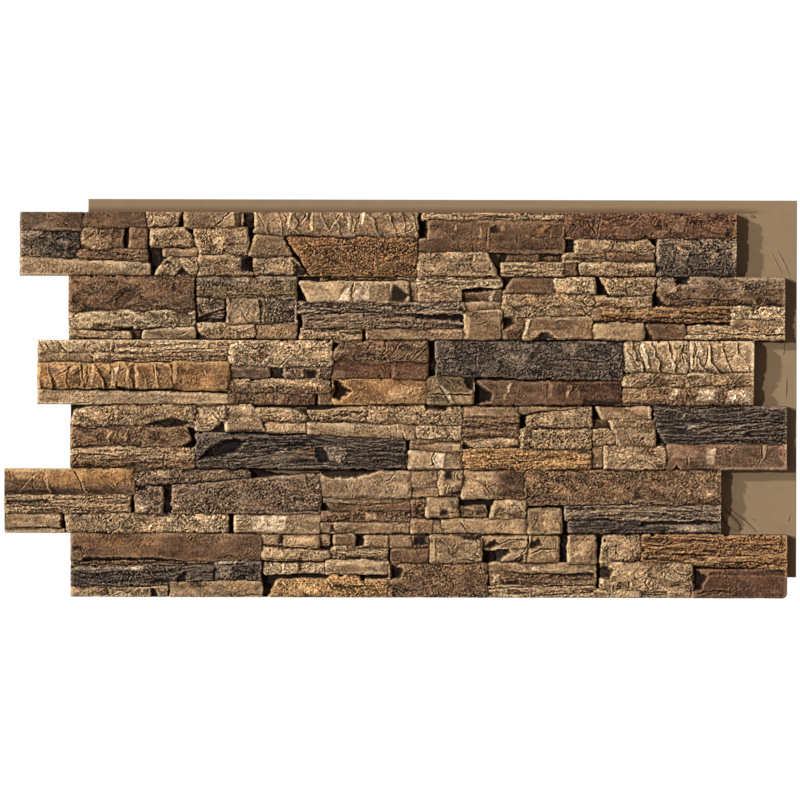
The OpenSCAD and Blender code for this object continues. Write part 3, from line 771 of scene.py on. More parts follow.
# %% Marks of course two
FACETS += [
    (2, ((225, 47), (295, 47), (295, 60), (240, 56)), -1, 0, 0.2, "dusk"),
    (2, ((103, 24), (178, 24), (180, 43), (103, 42)), 0.3, 0, 0, "light"),
    (2, ((198, 24), (285, 25), (288, 43), (200, 43)), -0.6, 0, 0, "dusk"),
    (2, ((170, 20), (200, 20), (200, 11)), -9, 0, 0, "dark"),
    (2, ((299, 27), (345, 27), (345, 50), (337, 48), (299, 36)), -5, 0, 0.1, "dusk"),
    (2, ((350, 28), (398, 28), (396, 64), (350, 66)), 0, 0.12, 0, "light"),
    (2, ((401, 27), (452, 27), (452, 64), (401, 64)), -1, -0.14, 0, "dusk"),
    (2, ((298, 2), (316, 2), (300, 14)), -9, 0, 0, "dark"),
    (2, ((474, 62), (516, 62), (530, 88), (462, 88)), 0.5, 0.05, 0, "light"),
    (2, ((517, 62), (538, 62), (537, 86), (524, 74)), 1, 0.15, 0, "white"),
    (2, ((542, 61), (567, 63), (569, 88), (546, 88)), 1, 0, 0, "white"),
    (2, ((570, 61), (600, 61), (600, 88), (571, 88)), -1, -0.12, 0, None),
    (2, ((596, 60), (622, 60), (629, 72), (606, 88)), -4, -0.3, 0, "dark"),
    (2, ((560, 40), (640, 43), (640, 37)), -6, 0, 0, "dark"),
    (2, ((640, 43), (716, 45), (716, 31), (640, 35)), -10, 0, 0, "dark"),
    (2, ((457, 43), (490, 44), (480, 52), (458, 56)), 0, 0.1, 0, "pale"),
    (2, ((500, 44), (560, 43), (560, 50), (520, 57), (500, 54)), -0.5, 0, 0, "dusk"),
    (2, ((480, 26), (560, 24), (560, 36), (500, 40)), 0.3, 0, 0, "pale"),
    (2, ((697, 84), (772, 82), (772, 77), (735, 77), (700, 72)), -13, 0, 0, "dark"),
    (2, ((752, 62), (758, 62), (764, 76), (758, 77)), 1, 0.3, 0, "white"),
    (2, ((717, 8), (722, 4), (724, 36), (718, 34)), 0.8, 0.5, 0, "light"),
    (2, ((722, 36), (772, 37), (772, 45), (728, 45)), -1.5, 0, -0.3, "dusk"),
    (2, ((775, 36), (792, 36), (790, 27), (775, 19)), -8, 0, 0, "dark"),
    (2, ((806, 8), (811, 10), (818, 34), (812, 34)), 0.8, 0.5, 0, "white"),
    (2, ((826, 3), (856, 3), (845, 13), (834, 13)), -7, 0, 0, "dark"),
    (2, ((1041, 100), (1063, 100), (1062, 89), (1046, 89)), -12, 0, 0, "dark"),
    (2, ((1032, 77), (1042, 76), (1048, 86), (1040, 86)), 1, 0.3, 0, "white"),
    (2, ((1014, 86), (1032, 72), (1044, 90), (1030, 98)), 0, 0.2, 0, "pale"),
    (2, ((1030, 55), (1215, 55), (1215, 65), (1050, 67)), -1.5, 0, 0.3, "dusk"),
    (2, ((1066, 72), (1100, 68), (1110, 84), (1080, 94)), 0.5, 0.08, 0, "pale"),
    (2, ((1132, 74), (1148, 74), (1152, 90), (1140, 92)), 0.5, 0.15, 0, "light"),
    (2, ((1008, 54), (1030, 54), (1011, 73)), -15, 0, 0, "dark"),
    (2, ((930, 42), (960, 42), (956, 52), (930, 52)), 0.8, 0.05, 0, "light"),
    (2, ((974, 37), (998, 35), (1002, 52), (978, 52)), 0.5, 0.1, 0, "light"),
    (2, ((1026, 38), (1046, 36), (1050, 47), (1030, 48)), 0.5, 0.1, 0, "light"),
    (2, ((1056, 32), (1124, 32), (1124, 46), (1056, 46)), -1.2, 0, 0, "dusk"),
    (2, ((1140, 36), (1185, 36), (1180, 52), (1145, 52)), 0, 0, 0, "light"),
    (2, ((920, 4), (984, 4), (992, 20), (922, 24)), 0.4, 0, 0, "light"),
    (2, ((996, 3), (1005, 3), (1002, 18), (996, 20)), -5, 0, 0, "dark"),
    (2, ((1062, 12), (1098, 12), (1094, 21), (1064, 21)), 0.6, 0, 0, "light"),
    (2, ((1100, 4), (1214, 4), (1214, 9), (1100, 10)), 0.4, 0, 0, "light"),
    (2, ((1198, 13), (1208, 13), (1206, 22), (1198, 22)), 0.8, 0.2, 0, "white"),
]
CRACKS += [
    (2, ((105, 5), (146, 3)), 3),
    (2, ((270, 7), (284, 12)), 3),
    (2, ((176, 86), (174, 76)), 1.5),
    (2, ((370, 85), (372, 76), (368, 72)), 3),
    (2, ((340, 69), (380, 71), (452, 70)), 2),
    (2, ((310, 64), (307, 55), (312, 44)), 2),
    (2, ((372, 54), (371, 42), (377, 30)), 2.5),
    (2, ((399, 63), (403, 50), (400, 38), (401, 28)), 2),
    (2, ((543, 91), (540, 80), (539, 66)), 4),
    (2, ((554, 87), (562, 78), (566, 70)), 2),
    (2, ((556, 94), (592, 95)), 3),
    (2, ((460, 40), (490, 47), (530, 44)), 3),
    (2, ((480, 33), (530, 29), (575, 33), (620, 27)), 2.5),
    (2, ((500, 24), (540, 27), (600, 22)), 2),
    (2, ((650, 66), (700, 66)), 2),
    (2, ((664, 86), (676, 93)), 2.5),
    (2, ((724, 96), (732, 88)), 2),
    (2, ((724, 28), (740, 25), (752, 30)), 2),
    (2, ((906, 71), (899, 62), (905, 54)), 3),
    (2, ((898, 51), (904, 44), (912, 37)), 3.5),
    (2, ((796, 42), (789, 38)), 3),
    (2, ((1050, 64), (1080, 66), (1130, 63)), 2.5),
    (2, ((1076, 94), (1078, 84)), 2),
    (2, ((1126, 82), (1136, 92)), 2),
    (2, ((1055, 44), (1100, 45), (1126, 40)), 2.5),
    (2, ((1060, 36), (1120, 36)), 2.5),
    (2, ((940, 36), (985, 34)), 2),
    (2, ((1060, 11), (1130, 11), (1215, 10)), 4),
    (2, ((1168, 12), (1178, 22)), 3),
    (2, ((1185, 12), (1192, 21)), 2.5),
]
print(len(FACETS), "facets and", len(CRACKS), "cracks")

# %% Marks of course three
FACETS += [
    (3, ((52, 84), (86, 82), (84, 96), (54, 97)), 0, 0.05, 0, "light"),
    (3, ((86, 99), (97, 82), (107, 82), (121, 99)), 0.6, 0, 0, "light"),
    (3, ((124, 99), (165, 99), (165, 80), (109, 81)), -0.8, -0.05, 0, None),
    (3, ((174, 84), (206, 84), (211, 98), (177, 98)), 0.5, 0.05, 0, "light"),
    (3, ((141, 70), (150, 71), (149, 79), (142, 79)), 1, 0.2, 0, "white"),
    (3, ((236, 68), (349, 68), (349, 79), (240, 79)), -0.8, 0, 0, "shade"),
    (3, ((62, 61), (104, 61), (89, 46), (74, 42)), 0.8, 0.08, 0, "rosy"),
    (3, ((94, 49), (99, 46), (117, 60), (110, 62)), 0.8, 0.2, 0, "light"),
    (3, ((96, 28), (118, 28), (120, 56), (104, 44)), -1.2, -0.15, 0, "shade"),
    (3, ((122, 38), (127, 30), (128, 52), (124, 58)), 1, 0.4, 0, "light"),
    (3, ((133, 29), (138, 29), (143, 60), (137, 61)), 1.2, 0.5, 0, "light"),
    (3, ((144, 28), (166, 28), (167, 52), (144, 60)), 0, -0.12, 0, "shade"),
    (3, ((168, 29), (173, 28), (178, 60), (170, 56)), 1.2, 0.5, 0, "white"),
    (3, ((177, 27), (189, 27), (188, 50), (178, 46)), 0, -0.2, 0, "warm"),
    (3, ((190, 27), (194, 27), (193, 60), (189, 52)), 1, 0.4, 0, "light"),
    (3, ((195, 26), (205, 26), (202, 62), (196, 60)), -1.5, -0.3, 0, "dusk"),
    (3, ((205, 26), (210, 26), (208, 60), (203, 62)), 1.2, 0.5, 0, "light"),
    (3, ((233, 28), (239, 28), (235, 62), (230, 60)), 1.2, 0.5, 0, "light"),
    (3, ((239, 28), (252, 28), (260, 58), (238, 62)), 0, -0.1, 0, None),
    (3, ((262, 27), (266, 27), (270, 62), (262, 62)), 1, 0.3, 0, "light"),
    (3, ((60, 17), (132, 17), (132, 23), (60, 23)), -0.5, 0, 0, "shade"),
    (3, ((308, 2), (349, 2), (349, 15), (320, 16)), 0.5, 0, 0, "light"),
    (3, ((354, 93), (366, 98), (396, 82), (384, 77)), 1, 0.1, 0, "white"),
    (3, ((385, 70), (400, 64), (412, 78), (398, 84)), -2, 0, 0, "dusk"),
    (3, ((414, 76), (446, 76), (448, 94), (418, 96)), 0.6, 0, 0, "light"),
    (3, ((466, 72), (505, 68), (505, 96), (470, 96)), 0.4, 0, 0, "light"),
    (3, ((351, 54), (411, 54), (411, 60), (351, 60)), 0.4, 0, -0.2, "pale"),
    (3, ((432, 59), (506, 59), (500, 52), (450, 54)), 0.5, 0, -0.2, "pale"),
    (3, ((459, 42), (466, 42), (466, 56), (461, 56)), 1, 0.3, 0, "light"),
    (3, ((485, 42), (490, 42), (492, 56), (487, 56)), 1.2, 0.4, 0, "white"),
    (3, ((470, 42), (484, 42), (484, 54), (470, 54)), -2, -0.3, 0, "dark"),
    (3, ((362, 24), (378, 26), (376, 36), (358, 34)), 0.4, 0.1, 0, "light"),
    (3, ((440, 26), (495, 24), (490, 34), (445, 35)), 0.5, 0, 0, "light"),
    (3, ((358, 6), (378, 8), (376, 17), (356, 16)), 0.5, 0.1, 0, "light"),
    (3, ((408, 4), (418, 4), (418, 16), (410, 16)), 0.6, 0.2, 0, "light"),
    (3, ((424, 2), (434, 2), (436, 15), (426, 15)), 0.6, 0.2, 0, "light"),
    (3, ((508, 82), (508, 98), (521, 96)), -13, 0, 0, "dark"),
    (3, ((578, 69), (594, 69), (592, 78), (582, 79)), -1.5, 0, 0, "dusk"),
    (3, ((512, 42), (530, 42), (532, 52), (514, 56)), 0, 0, 0, "pale"),
    (3, ((603, 42), (607, 42), (608, 66), (604, 66)), 0.8, 0.4, 0, "pale"),
    (3, ((512, 39), (518, 38), (538, 21), (520, 9), (512, 11)), -14, 0, 0, "dark"),
    (3, ((594, 3), (645, 3), (650, 28), (612, 31), (592, 18)), 0.8, 0, 0, "light"),
    (3, ((540, 33), (657, 31), (657, 39), (540, 39)), -1, 0, -0.2, "shade"),
    (3, ((680, 50), (704, 50), (711, 68), (690, 72)), 0.5, 0.1, 0, "ash"),
    (3, ((735, 44), (758, 43), (772, 64), (742, 74)), 0.4, 0.1, 0, "ash"),
    (3, ((676, 74), (700, 76), (700, 94), (680, 96)), 0, 0.05, 0, "ash"),
    (3, ((850, 58), (900, 55), (932, 64), (880, 70)), 0.4, 0, 0, "warm"),
    (3, ((866, 74), (888, 72), (892, 96), (878, 98)), 0.4, 0, 0, "pale"),
    (3, ((775, 50), (850, 46), (850, 56), (780, 62)), -0.6, 0, 0, "dusk"),
    (3, ((676, 31), (682, 31), (701, 2), (694, 2)), 1, 0.1, 0, "white"),
    (3, ((662, 19), (678, 19), (676, 40), (664, 42)), 0.5, 0, 0, "light"),
    (3, ((700, 2), (727, 2), (727, 14), (702, 14)), 0.3, 0, 0, "light"),
    (3, ((712, 44), (729, 44), (729, 24), (720, 28)), -6, -0.2, 0, "dark"),
    (3, ((714, 17), (728, 17), (727, 24)), 1, 0, 0, "light"),
    (3, ((729, 37), (736, 34), (757, 17), (756, 8), (731, 1)), -13, 0, 0, "dark"),
    (3, ((779, 20), (783, 20), (791, 34), (787, 34)), 1, 0.4, 0, "white"),
    (3, ((771, 7), (779, 8), (783, 20), (776, 19)), 0.6, 0.2, 0, "light"),
    (3, ((846, 14), (850, 14), (852, 34), (848, 34)), 0.8, 0.3, 0, "light"),
    (3, ((871, 13), (876, 12), (884, 31), (876, 31)), 0.8, 0.3, 0, "light"),
    (3, ((886, 6), (896, 6), (894, 30), (886, 30)), 0, 0.1, 0, "pale"),
    (3, ((900, 1), (957, 1), (957, 8), (902, 9)), -2, 0, 0.2, "dark"),
    (3, ((896, 8), (957, 8), (957, 34), (910, 34)), -0.8, -0.04, 0, "dusk"),
    (3, ((740, 52), (800, 47), (830, 96), (772, 99)), 0.6, 0.03, 0, "ash"),
    (3, ((965, 56), (981, 54), (973, 72), (966, 86)), 1, 0.1, 0, "white"),
    (3, ((972, 92), (988, 96), (992, 64), (984, 58), (974, 76)), -1, -0.1, 0, "shade"),
    (3, ((988, 99), (992, 99), (1003, 58), (997, 55)), 1.4, 0.4, 0, "white"),
    (3, ((1034, 56), (1039, 56), (1044, 78), (1039, 80)), 1, 0.4, 0, "white"),
    (3, ((1039, 79), (1044, 79), (1039, 98), (1034, 98)), 1, 0.4, 0, "light"),
    (3, ((1048, 66), (1062, 66), (1062, 96), (1050, 94)), -1.5, 0, 0, "dusk"),
    (3, ((1065, 99), (1071, 99), (1070, 58), (1065, 56)), 1.4, 0.4, 0, "white"),
    (3, ((1073, 96), (1080, 98), (1087, 80), (1080, 76)), 1, 0.2, 0, "white"),
    (3, ((1093, 60), (1098, 60), (1098, 93), (1093, 90)), 1, 0.4, 0, "light"),
    (3, ((1128, 54), (1165, 54), (1165, 82), (1146, 86), (1128, 68)), 0.8, 0, 0, "light"),
    (3, ((963, 44), (1061, 44), (1061, 52), (963, 52)), -0.8, 0, -0.2, "shade"),
    (3, ((1030, 8), (1042, 8), (1050, 26), (1040, 26)), 0.8, 0.1, 0, "white"),
    (3, ((1075, 8), (1100, 7), (1107, 24), (1082, 27)), 0.8, 0, 0, "white"),
    (3, ((1122, 2), (1165, 2), (1165, 25), (1126, 24)), 1, 0, 0, "white"),
    (3, ((966, 3), (1000, 3), (998, 25), (968, 26)), 0.3, 0.05, 0, "light"),
    (3, ((1016, 14), (1030, 14), (1034, 26), (1018, 26)), -1.2, 0, 0, "dusk"),
    (3, ((1110, 4), (1119, 4), (1120, 25), (1110, 25)), -1.5, 0, 0, "dusk"),
]
CRACKS += [
    (3, ((54, 99), (58, 90)), 4),
    (3, ((64, 97), (70, 84)), 2.5),
    (3, ((73, 100), (77, 94)), 4),
    (3, ((80, 100), (88, 93), (98, 81)), 3.5),
    (3, ((211, 99), (196, 90), (180, 84)), 3),
    (3, ((248, 85), (300, 86), (349, 89)), 2.5),
    (3, ((335, 98), (346, 91)), 4),
    (3, ((132, 78), (139, 70)), 3),
    (3, ((105, 61), (93, 50), (80, 44)), 4),
    (3, ((121, 60), (123, 46), (118, 31)), 4),
    (3, ((129, 60), (132, 44), (128, 28)), 2.5),
    (3, ((166, 60), (167, 45), (165, 30)), 3),
    (3, ((176, 48), (190, 60)), 2.5),
    (3, ((190, 52), (188, 38), (192, 26)), 3),
    (3, ((231, 62), (233, 45), (236, 28)), 3),
    (3, ((76, 40), (82, 30)), 2.5),
    (3, ((309, 53), (314, 44)), 2),
    (3, ((110, 2), (133, 3)), 4),
    (3, ((428, 62), (438, 70), (448, 80)), 4.5),
    (3, ((400, 98), (405, 90), (398, 84)), 3),
    (3, ((456, 98), (461, 88), (453, 80)), 2.5),
    (3, ((478, 62), (496, 68), (506, 66)), 3),
    (3, ((448, 56), (454, 44)), 3),
    (3, ((404, 22), (414, 29), (421, 22)), 4),
    (3, ((376, 36), (392, 34)), 4),
    (3, ((386, 16), (382, 8), (388, 2)), 2.5),
    (3, ((400, 16), (404, 8), (398, 2)), 2.5),
    (3, ((440, 14), (446, 6)), 2.5),
    (3, ((530, 99), (527, 88), (522, 80)), 2.5),
    (3, ((573, 99), (565, 88), (556, 76)), 2.5),
    (3, ((586, 99), (584, 88), (575, 80)), 3),
    (3, ((592, 99), (593, 86), (586, 78)), 4),
    (3, ((616, 100), (610, 88), (603, 78)), 3),
    (3, ((638, 98), (628, 85), (620, 74)), 3),
    (3, ((657, 97), (646, 85), (636, 74)), 3.5),
    (3, ((674, 72), (690, 70), (700, 74)), 3),
    (3, ((855, 72), (880, 71), (932, 67)), 3),
    (3, ((938, 69), (952, 79)), 5),
    (3, ((735, 90), (733, 66), (736, 50)), 1.8),
    (3, ((672, 32), (680, 24), (686, 12), (692, 2)), 2.5),
    (3, ((686, 40), (696, 28), (700, 22)), 2.5),
    (3, ((659, 16), (690, 17), (729, 16)), 4),
    (3, ((846, 35), (843, 24), (844, 12)), 3.5),
    (3, ((765, 32), (771, 20)), 2),
    (3, ((968, 91), (975, 75), (985, 60)), 3),
    (3, ((988, 99), (986, 85), (993, 70), (996, 58)), 4),
    (3, ((1012, 96), (1013, 86)), 2.5),
    (3, ((1056, 94), (1053, 78), (1056, 64)), 4.5),
    (3, ((1072, 99), (1076, 88), (1072, 74), (1070, 60)), 4),
    (3, ((1093, 90), (1092, 74), (1090, 60)), 4),
    (3, ((1104, 90), (1113, 83)), 2),
    (3, ((1100, 70), (1118, 76), (1134, 76), (1137, 84)), 2.5),
    (3, ((974, 34), (986, 43)), 3),
    (3, ((997, 30), (1006, 40), (1004, 47)), 4),
    (3, ((1022, 33), (1050, 35)), 3),
    (3, ((1108, 31), (1140, 34)), 3.5),
    (3, ((964, 4), (990, 3)), 5),
    (3, ((1060, 26), (1064, 12), (1070, 2)), 2.5),
    (3, ((1118, 26), (1121, 12), (1119, 2)), 3.5),
]
print(len(FACETS), "facets and", len(CRACKS), "cracks")

# %% Marks of course four
FACETS += [
    (4, ((101, 93), (120, 93), (134, 100), (101, 100)), -11, 0, 0, "dark"),
    (4, ((222, 68), (270, 65), (288, 72), (262, 80), (240, 76)), -6, 0, 0, "dark"),
    (4, ((276, 67), (296, 67), (296, 92), (284, 90)), -1.5, 0, 0, "shade"),
    (4, ((104, 70), (150, 68), (168, 86), (108, 90)), 0.3, 0, 0, "light"),
    (4, ((173, 69), (177, 69), (178, 88), (173, 88)), 0.8, 0.3, 0, "light"),
    (4, ((159, 36), (163, 36), (167, 56), (162, 55)), 0.8, 0.4, 0, "light"),
    (4, ((184, 38), (188, 40), (193, 62), (189, 60)), 0.8, 0.4, 0, "light"),
    (4, ((217, 38), (225, 36), (226, 58), (218, 58)), 0.3, 0.1, 0, "pale"),
    (4, ((274, 32), (297, 32), (297, 47)), -11, 0, 0, "dark"),
    (4, ((103, 25), (213, 23), (213, 33), (103, 34)), 0.4, 0, 0, "pale"),
    (4, ((206, 12), (245, 12), (244, 26), (216, 26)), 0.4, 0, 0, "pale"),
    (4, ((321, 58), (345, 58), (344, 71), (338, 73)), -10, 0, 0, "dark"),
    (4, ((368, 74), (386, 76), (384, 96), (366, 96)), 0.5, 0.1, 0, "light"),
    (4, ((346, 59), (404, 59), (398, 70), (347, 72)), -1.2, 0, 0.1, "shade"),
    (4, ((446, 96), (474, 96), (474, 83)), -9, 0, 0, "dark"),
    (4, ((428, 76), (452, 78), (446, 92), (424, 90)), 0.5, 0.1, 0, "light"),
    (4, ((394, 80), (408, 78), (412, 90), (396, 90)), 0.5, 0, 0, "light"),
    (4, ((420, 60), (468, 60), (468, 70), (424, 70)), 0.5, 0, 0, "light"),
    (4, ((532, 56), (543, 56), (545, 69), (533, 69)), 0.5, 0.1, 0, "light"),
    (4, ((676, 67), (688, 65), (702, 46), (694, 44)), -1.5, -0.2, 0, "dusk"),
    (4, ((652, 100), (690, 100), (686, 92), (656, 94)), -9, 0, 0, "dark"),
    (4, ((567, 78), (595, 75), (598, 91), (568, 93)), 0.5, 0, 0, "light"),
    (4, ((628, 71), (645, 71), (650, 80), (634, 85)), 0.4, 0.1, 0, "light"),
    (4, ((304, 15), (336, 20), (360, 27), (376, 42), (360, 47), (335, 42), (318, 32)), -9, -0.05, 0, "dark"),
    (4, ((300, 28), (326, 30), (346, 46), (340, 55), (302, 50)), 0.4, 0.05, 0, "ash"),
    (4, ((356, 7), (430, 8), (470, 28), (440, 31), (380, 18)), 0.5, 0, 0, "ash"),
    (4, ((498, 33), (530, 36), (534, 25), (520, 10), (506, 14)), 1.2, 0, 0, "chalk"),
    (4, ((486, 33), (497, 33), (505, 14), (495, 9), (485, 18)), -4, 0, 0, "dark"),
    (4, ((446, 28), (484, 33), (484, 18), (440, 14)), 0.3, 0, 0, "warm"),
    (4, ((428, 37), (470, 44), (470, 37), (436, 33)), -3, 0, 0, "dark"),
    (4, ((420, 24), (438, 33), (443, 29), (426, 21)), 1, 0.1, 0, "chalk"),
    (4, ((570, 10), (590, 4), (626, 8), (626, 28), (596, 34), (566, 26)), -2, -0.05, 0, "dusk"),
    (4, ((520, 46), (534, 46), (536, 54), (524, 52)), 0.8, 0.1, 0, "chalk"),
    (4, ((696, 29), (708, 29), (710, 39), (698, 40)), 1, 0.1, 0, "light"),
    (4, ((631, 4), (664, 4), (666, 25), (634, 25)), 0.6, 0, 0, "light"),
    (4, ((671, 2), (683, 3), (686, 26), (670, 26)), 1, 0.1, 0, "white"),
    (4, ((689, 1), (711, 1), (711, 26), (692, 26)), -1, -0.1, 0, "shade"),
    (4, ((740, 66), (800, 66), (800, 73), (742, 74)), -1.2, 0, 0.2, "dusk"),
    (4, ((716, 52), (750, 52), (750, 65), (718, 65)), 0.4, 0, 0, "pale"),
    (4, ((712, 30), (732, 30), (713, 43)), -9, 0, 0, "dark"),
    (4, ((740, 34), (798, 34), (798, 47), (745, 47)), 0.4, 0, 0, "light"),
    (4, ((820, 72), (905, 72), (908, 90), (840, 84)), 0.5, 0, 0, "light"),
    (4, ((803, 35), (808, 35), (809, 60), (804, 60)), 1, 0.5, 0, "light"),
    (4, ((809, 34), (820, 34), (822, 62), (810, 62)), -1, -0.2, 0, "dusk"),
    (4, ((878, 34), (910, 34), (906, 45), (882, 43)), 0.5, 0, 0, "light"),
    (4, ((716, 25), (911, 25), (911, 31), (716, 31)), -1.2, 0, -0.3, "shade"),
    (4, ((826, 2), (906, 2), (906, 15), (846, 18)), 0.5, 0, 0.05, "honey"),
    (4, ((722, 2), (746, 2), (760, 16), (724, 18)), 0.4, 0, 0, "honey"),
    (4, ((1000, 80), (1005, 78), (1006, 96), (1001, 96)), 1, 0.4, 0, "white"),
    (4, ((938, 2), (990, 2), (984, 14), (940, 33)), 0.5, 0, 0, "light"),
    (4, ((996, 14), (1024, 2), (1026, 30), (1004, 30)), -0.8, -0.05, 0, "shade"),
    (4, ((1050, 79), (1054, 78), (1062, 88), (1058, 89)), 1, 0.2, 0, "chalk"),
    (4, ((1070, 88), (1094, 94), (1096, 97), (1072, 92)), 0.8, 0, 0, "warm"),
    (4, ((1012, 39), (1026, 41), (1013, 61)), -12, 0, 0, "dark"),
    (4, ((1060, 62), (1082, 65), (1080, 70), (1062, 68)), 1, 0, 0, "chalk"),
    (4, ((1070, 57), (1112, 60), (1150, 66), (1150, 70), (1100, 65)), 1, 0, 0, "light"),
    (4, ((1128, 51), (1132, 51), (1158, 60), (1152, 63)), 1, 0.2, 0, "chalk"),
    (4, ((1170, 60), (1212, 64), (1212, 70), (1176, 68)), 0.6, 0, 0, "warm"),
    (4, ((1022, 58), (1040, 60), (1038, 68), (1024, 68)), 0.5, 0, 0, "ash"),
    (4, ((1036, 18), (1076, 20), (1080, 34), (1040, 34)), 0.4, 0, 0, "rosy"),
    (4, ((1092, 10), (1104, 9), (1106, 33), (1090, 34)), 1, 0.1, 0, "chalk"),
    (4, ((1107, 8), (1128, 8), (1130, 30), (1108, 32)), -0.8, -0.05, 0, "shade"),
    (4, ((1180, 20), (1184, 22), (1185, 39), (1180, 39)), 1, 0.4, 0, "light"),
    (4, ((1201, 22), (1215, 10), (1215, 37), (1204, 37)), 0.3, 0, 0, "rosy"),
    (4, ((1041, 0), (1051, 0), (1046, 6)), -8, 0, 0, "dark"),
]
CRACKS += [
    (4, ((116, 88), (118, 94)), 2),
    (4, ((234, 41), (243, 49)), 4.5),
    (4, ((277, 62), (293, 51)), 4),
    (4, ((103, 3), (110, 10), (112, 16), (118, 24), (150, 22), (180, 19)), 4),
    (4, ((247, 1), (248, 16), (256, 20), (270, 24)), 3.5),
    (4, ((186, 29), (198, 27)), 3),
    (4, ((322, 90), (332, 80), (338, 72)), 2.5),
    (4, ((330, 93), (336, 82), (344, 72)), 2.5),
    (4, ((345, 88), (352, 96)), 2.5),
    (4, ((344, 73), (350, 79)), 2.5),
    (4, ((405, 83), (419, 84)), 3.5),
    (4, ((420, 74), (426, 82)), 2.5),
    (4, ((470, 88), (474, 80), (480, 76)), 2.5),
    (4, ((505, 77), (530, 92)), 3),
    (4, ((522, 79), (546, 91)), 3),
    (4, ((540, 78), (560, 92)), 3),
    (4, ((549, 70), (552, 58)), 2.5),
    (4, ((592, 67), (600, 58), (602, 48)), 4),
    (4, ((608, 68), (611, 56)), 3),
    (4, ((617, 66), (620, 54), (626, 45)), 3),
    (4, ((300, 21), (345, 15), (400, 21), (420, 25)), 3.5),
    (4, ((400, 34), (440, 29), (470, 36), (500, 38)), 3),
    (4, ((340, 8), (400, 6), (440, 10)), 2.5),
    (4, ((390, 30), (420, 36)), 3),
    (4, ((531, 24), (525, 17), (519, 15)), 5),
    (4, ((530, 34), (570, 30), (602, 28)), 3.5),
    (4, ((560, 42), (590, 40)), 3),
    (4, ((669, 27), (664, 17), (668, 7), (660, 4)), 4),
    (4, ((650, 46), (700, 50)), 2),
    (4, ((788, 19), (800, 14), (823, 12)), 3.5),
    (4, ((811, 3), (827, 11)), 4.5),
    (4, ((884, 17), (891, 20), (886, 12)), 3),
    (4, ((750, 16), (796, 17)), 2),
    (4, ((751, 10), (758, 3)), 2),
    (4, ((968, 56), (975, 43)), 2.5),
    (4, ((997, 53), (990, 45), (988, 38)), 4.5),
    (4, ((998, 15), (1005, 8), (1011, 3)), 4),
    (4, ((1020, 90), (1032, 98)), 2.5),
    (4, ((1078, 95), (1102, 98)), 3),
    (4, ((1094, 90), (1112, 84)), 2.5),
    (4, ((1150, 86), (1170, 90)), 2),
    (4, ((1070, 63), (1120, 70), (1192, 77)), 5),
    (4, ((1100, 59), (1150, 63), (1212, 72)), 4),
    (4, ((1020, 52), (1100, 50), (1210, 54)), 3),
    (4, ((1110, 44), (1200, 46)), 2.5),
    (4, ((1062, 7), (1061, 18), (1068, 27)), 3),
    (4, ((1178, 39), (1178, 20), (1172, 10), (1166, 2)), 3),
    (4, ((1090, 2), (1097, 8)), 3.5),
]
print(len(FACETS), "facets and", len(CRACKS), "cracks")

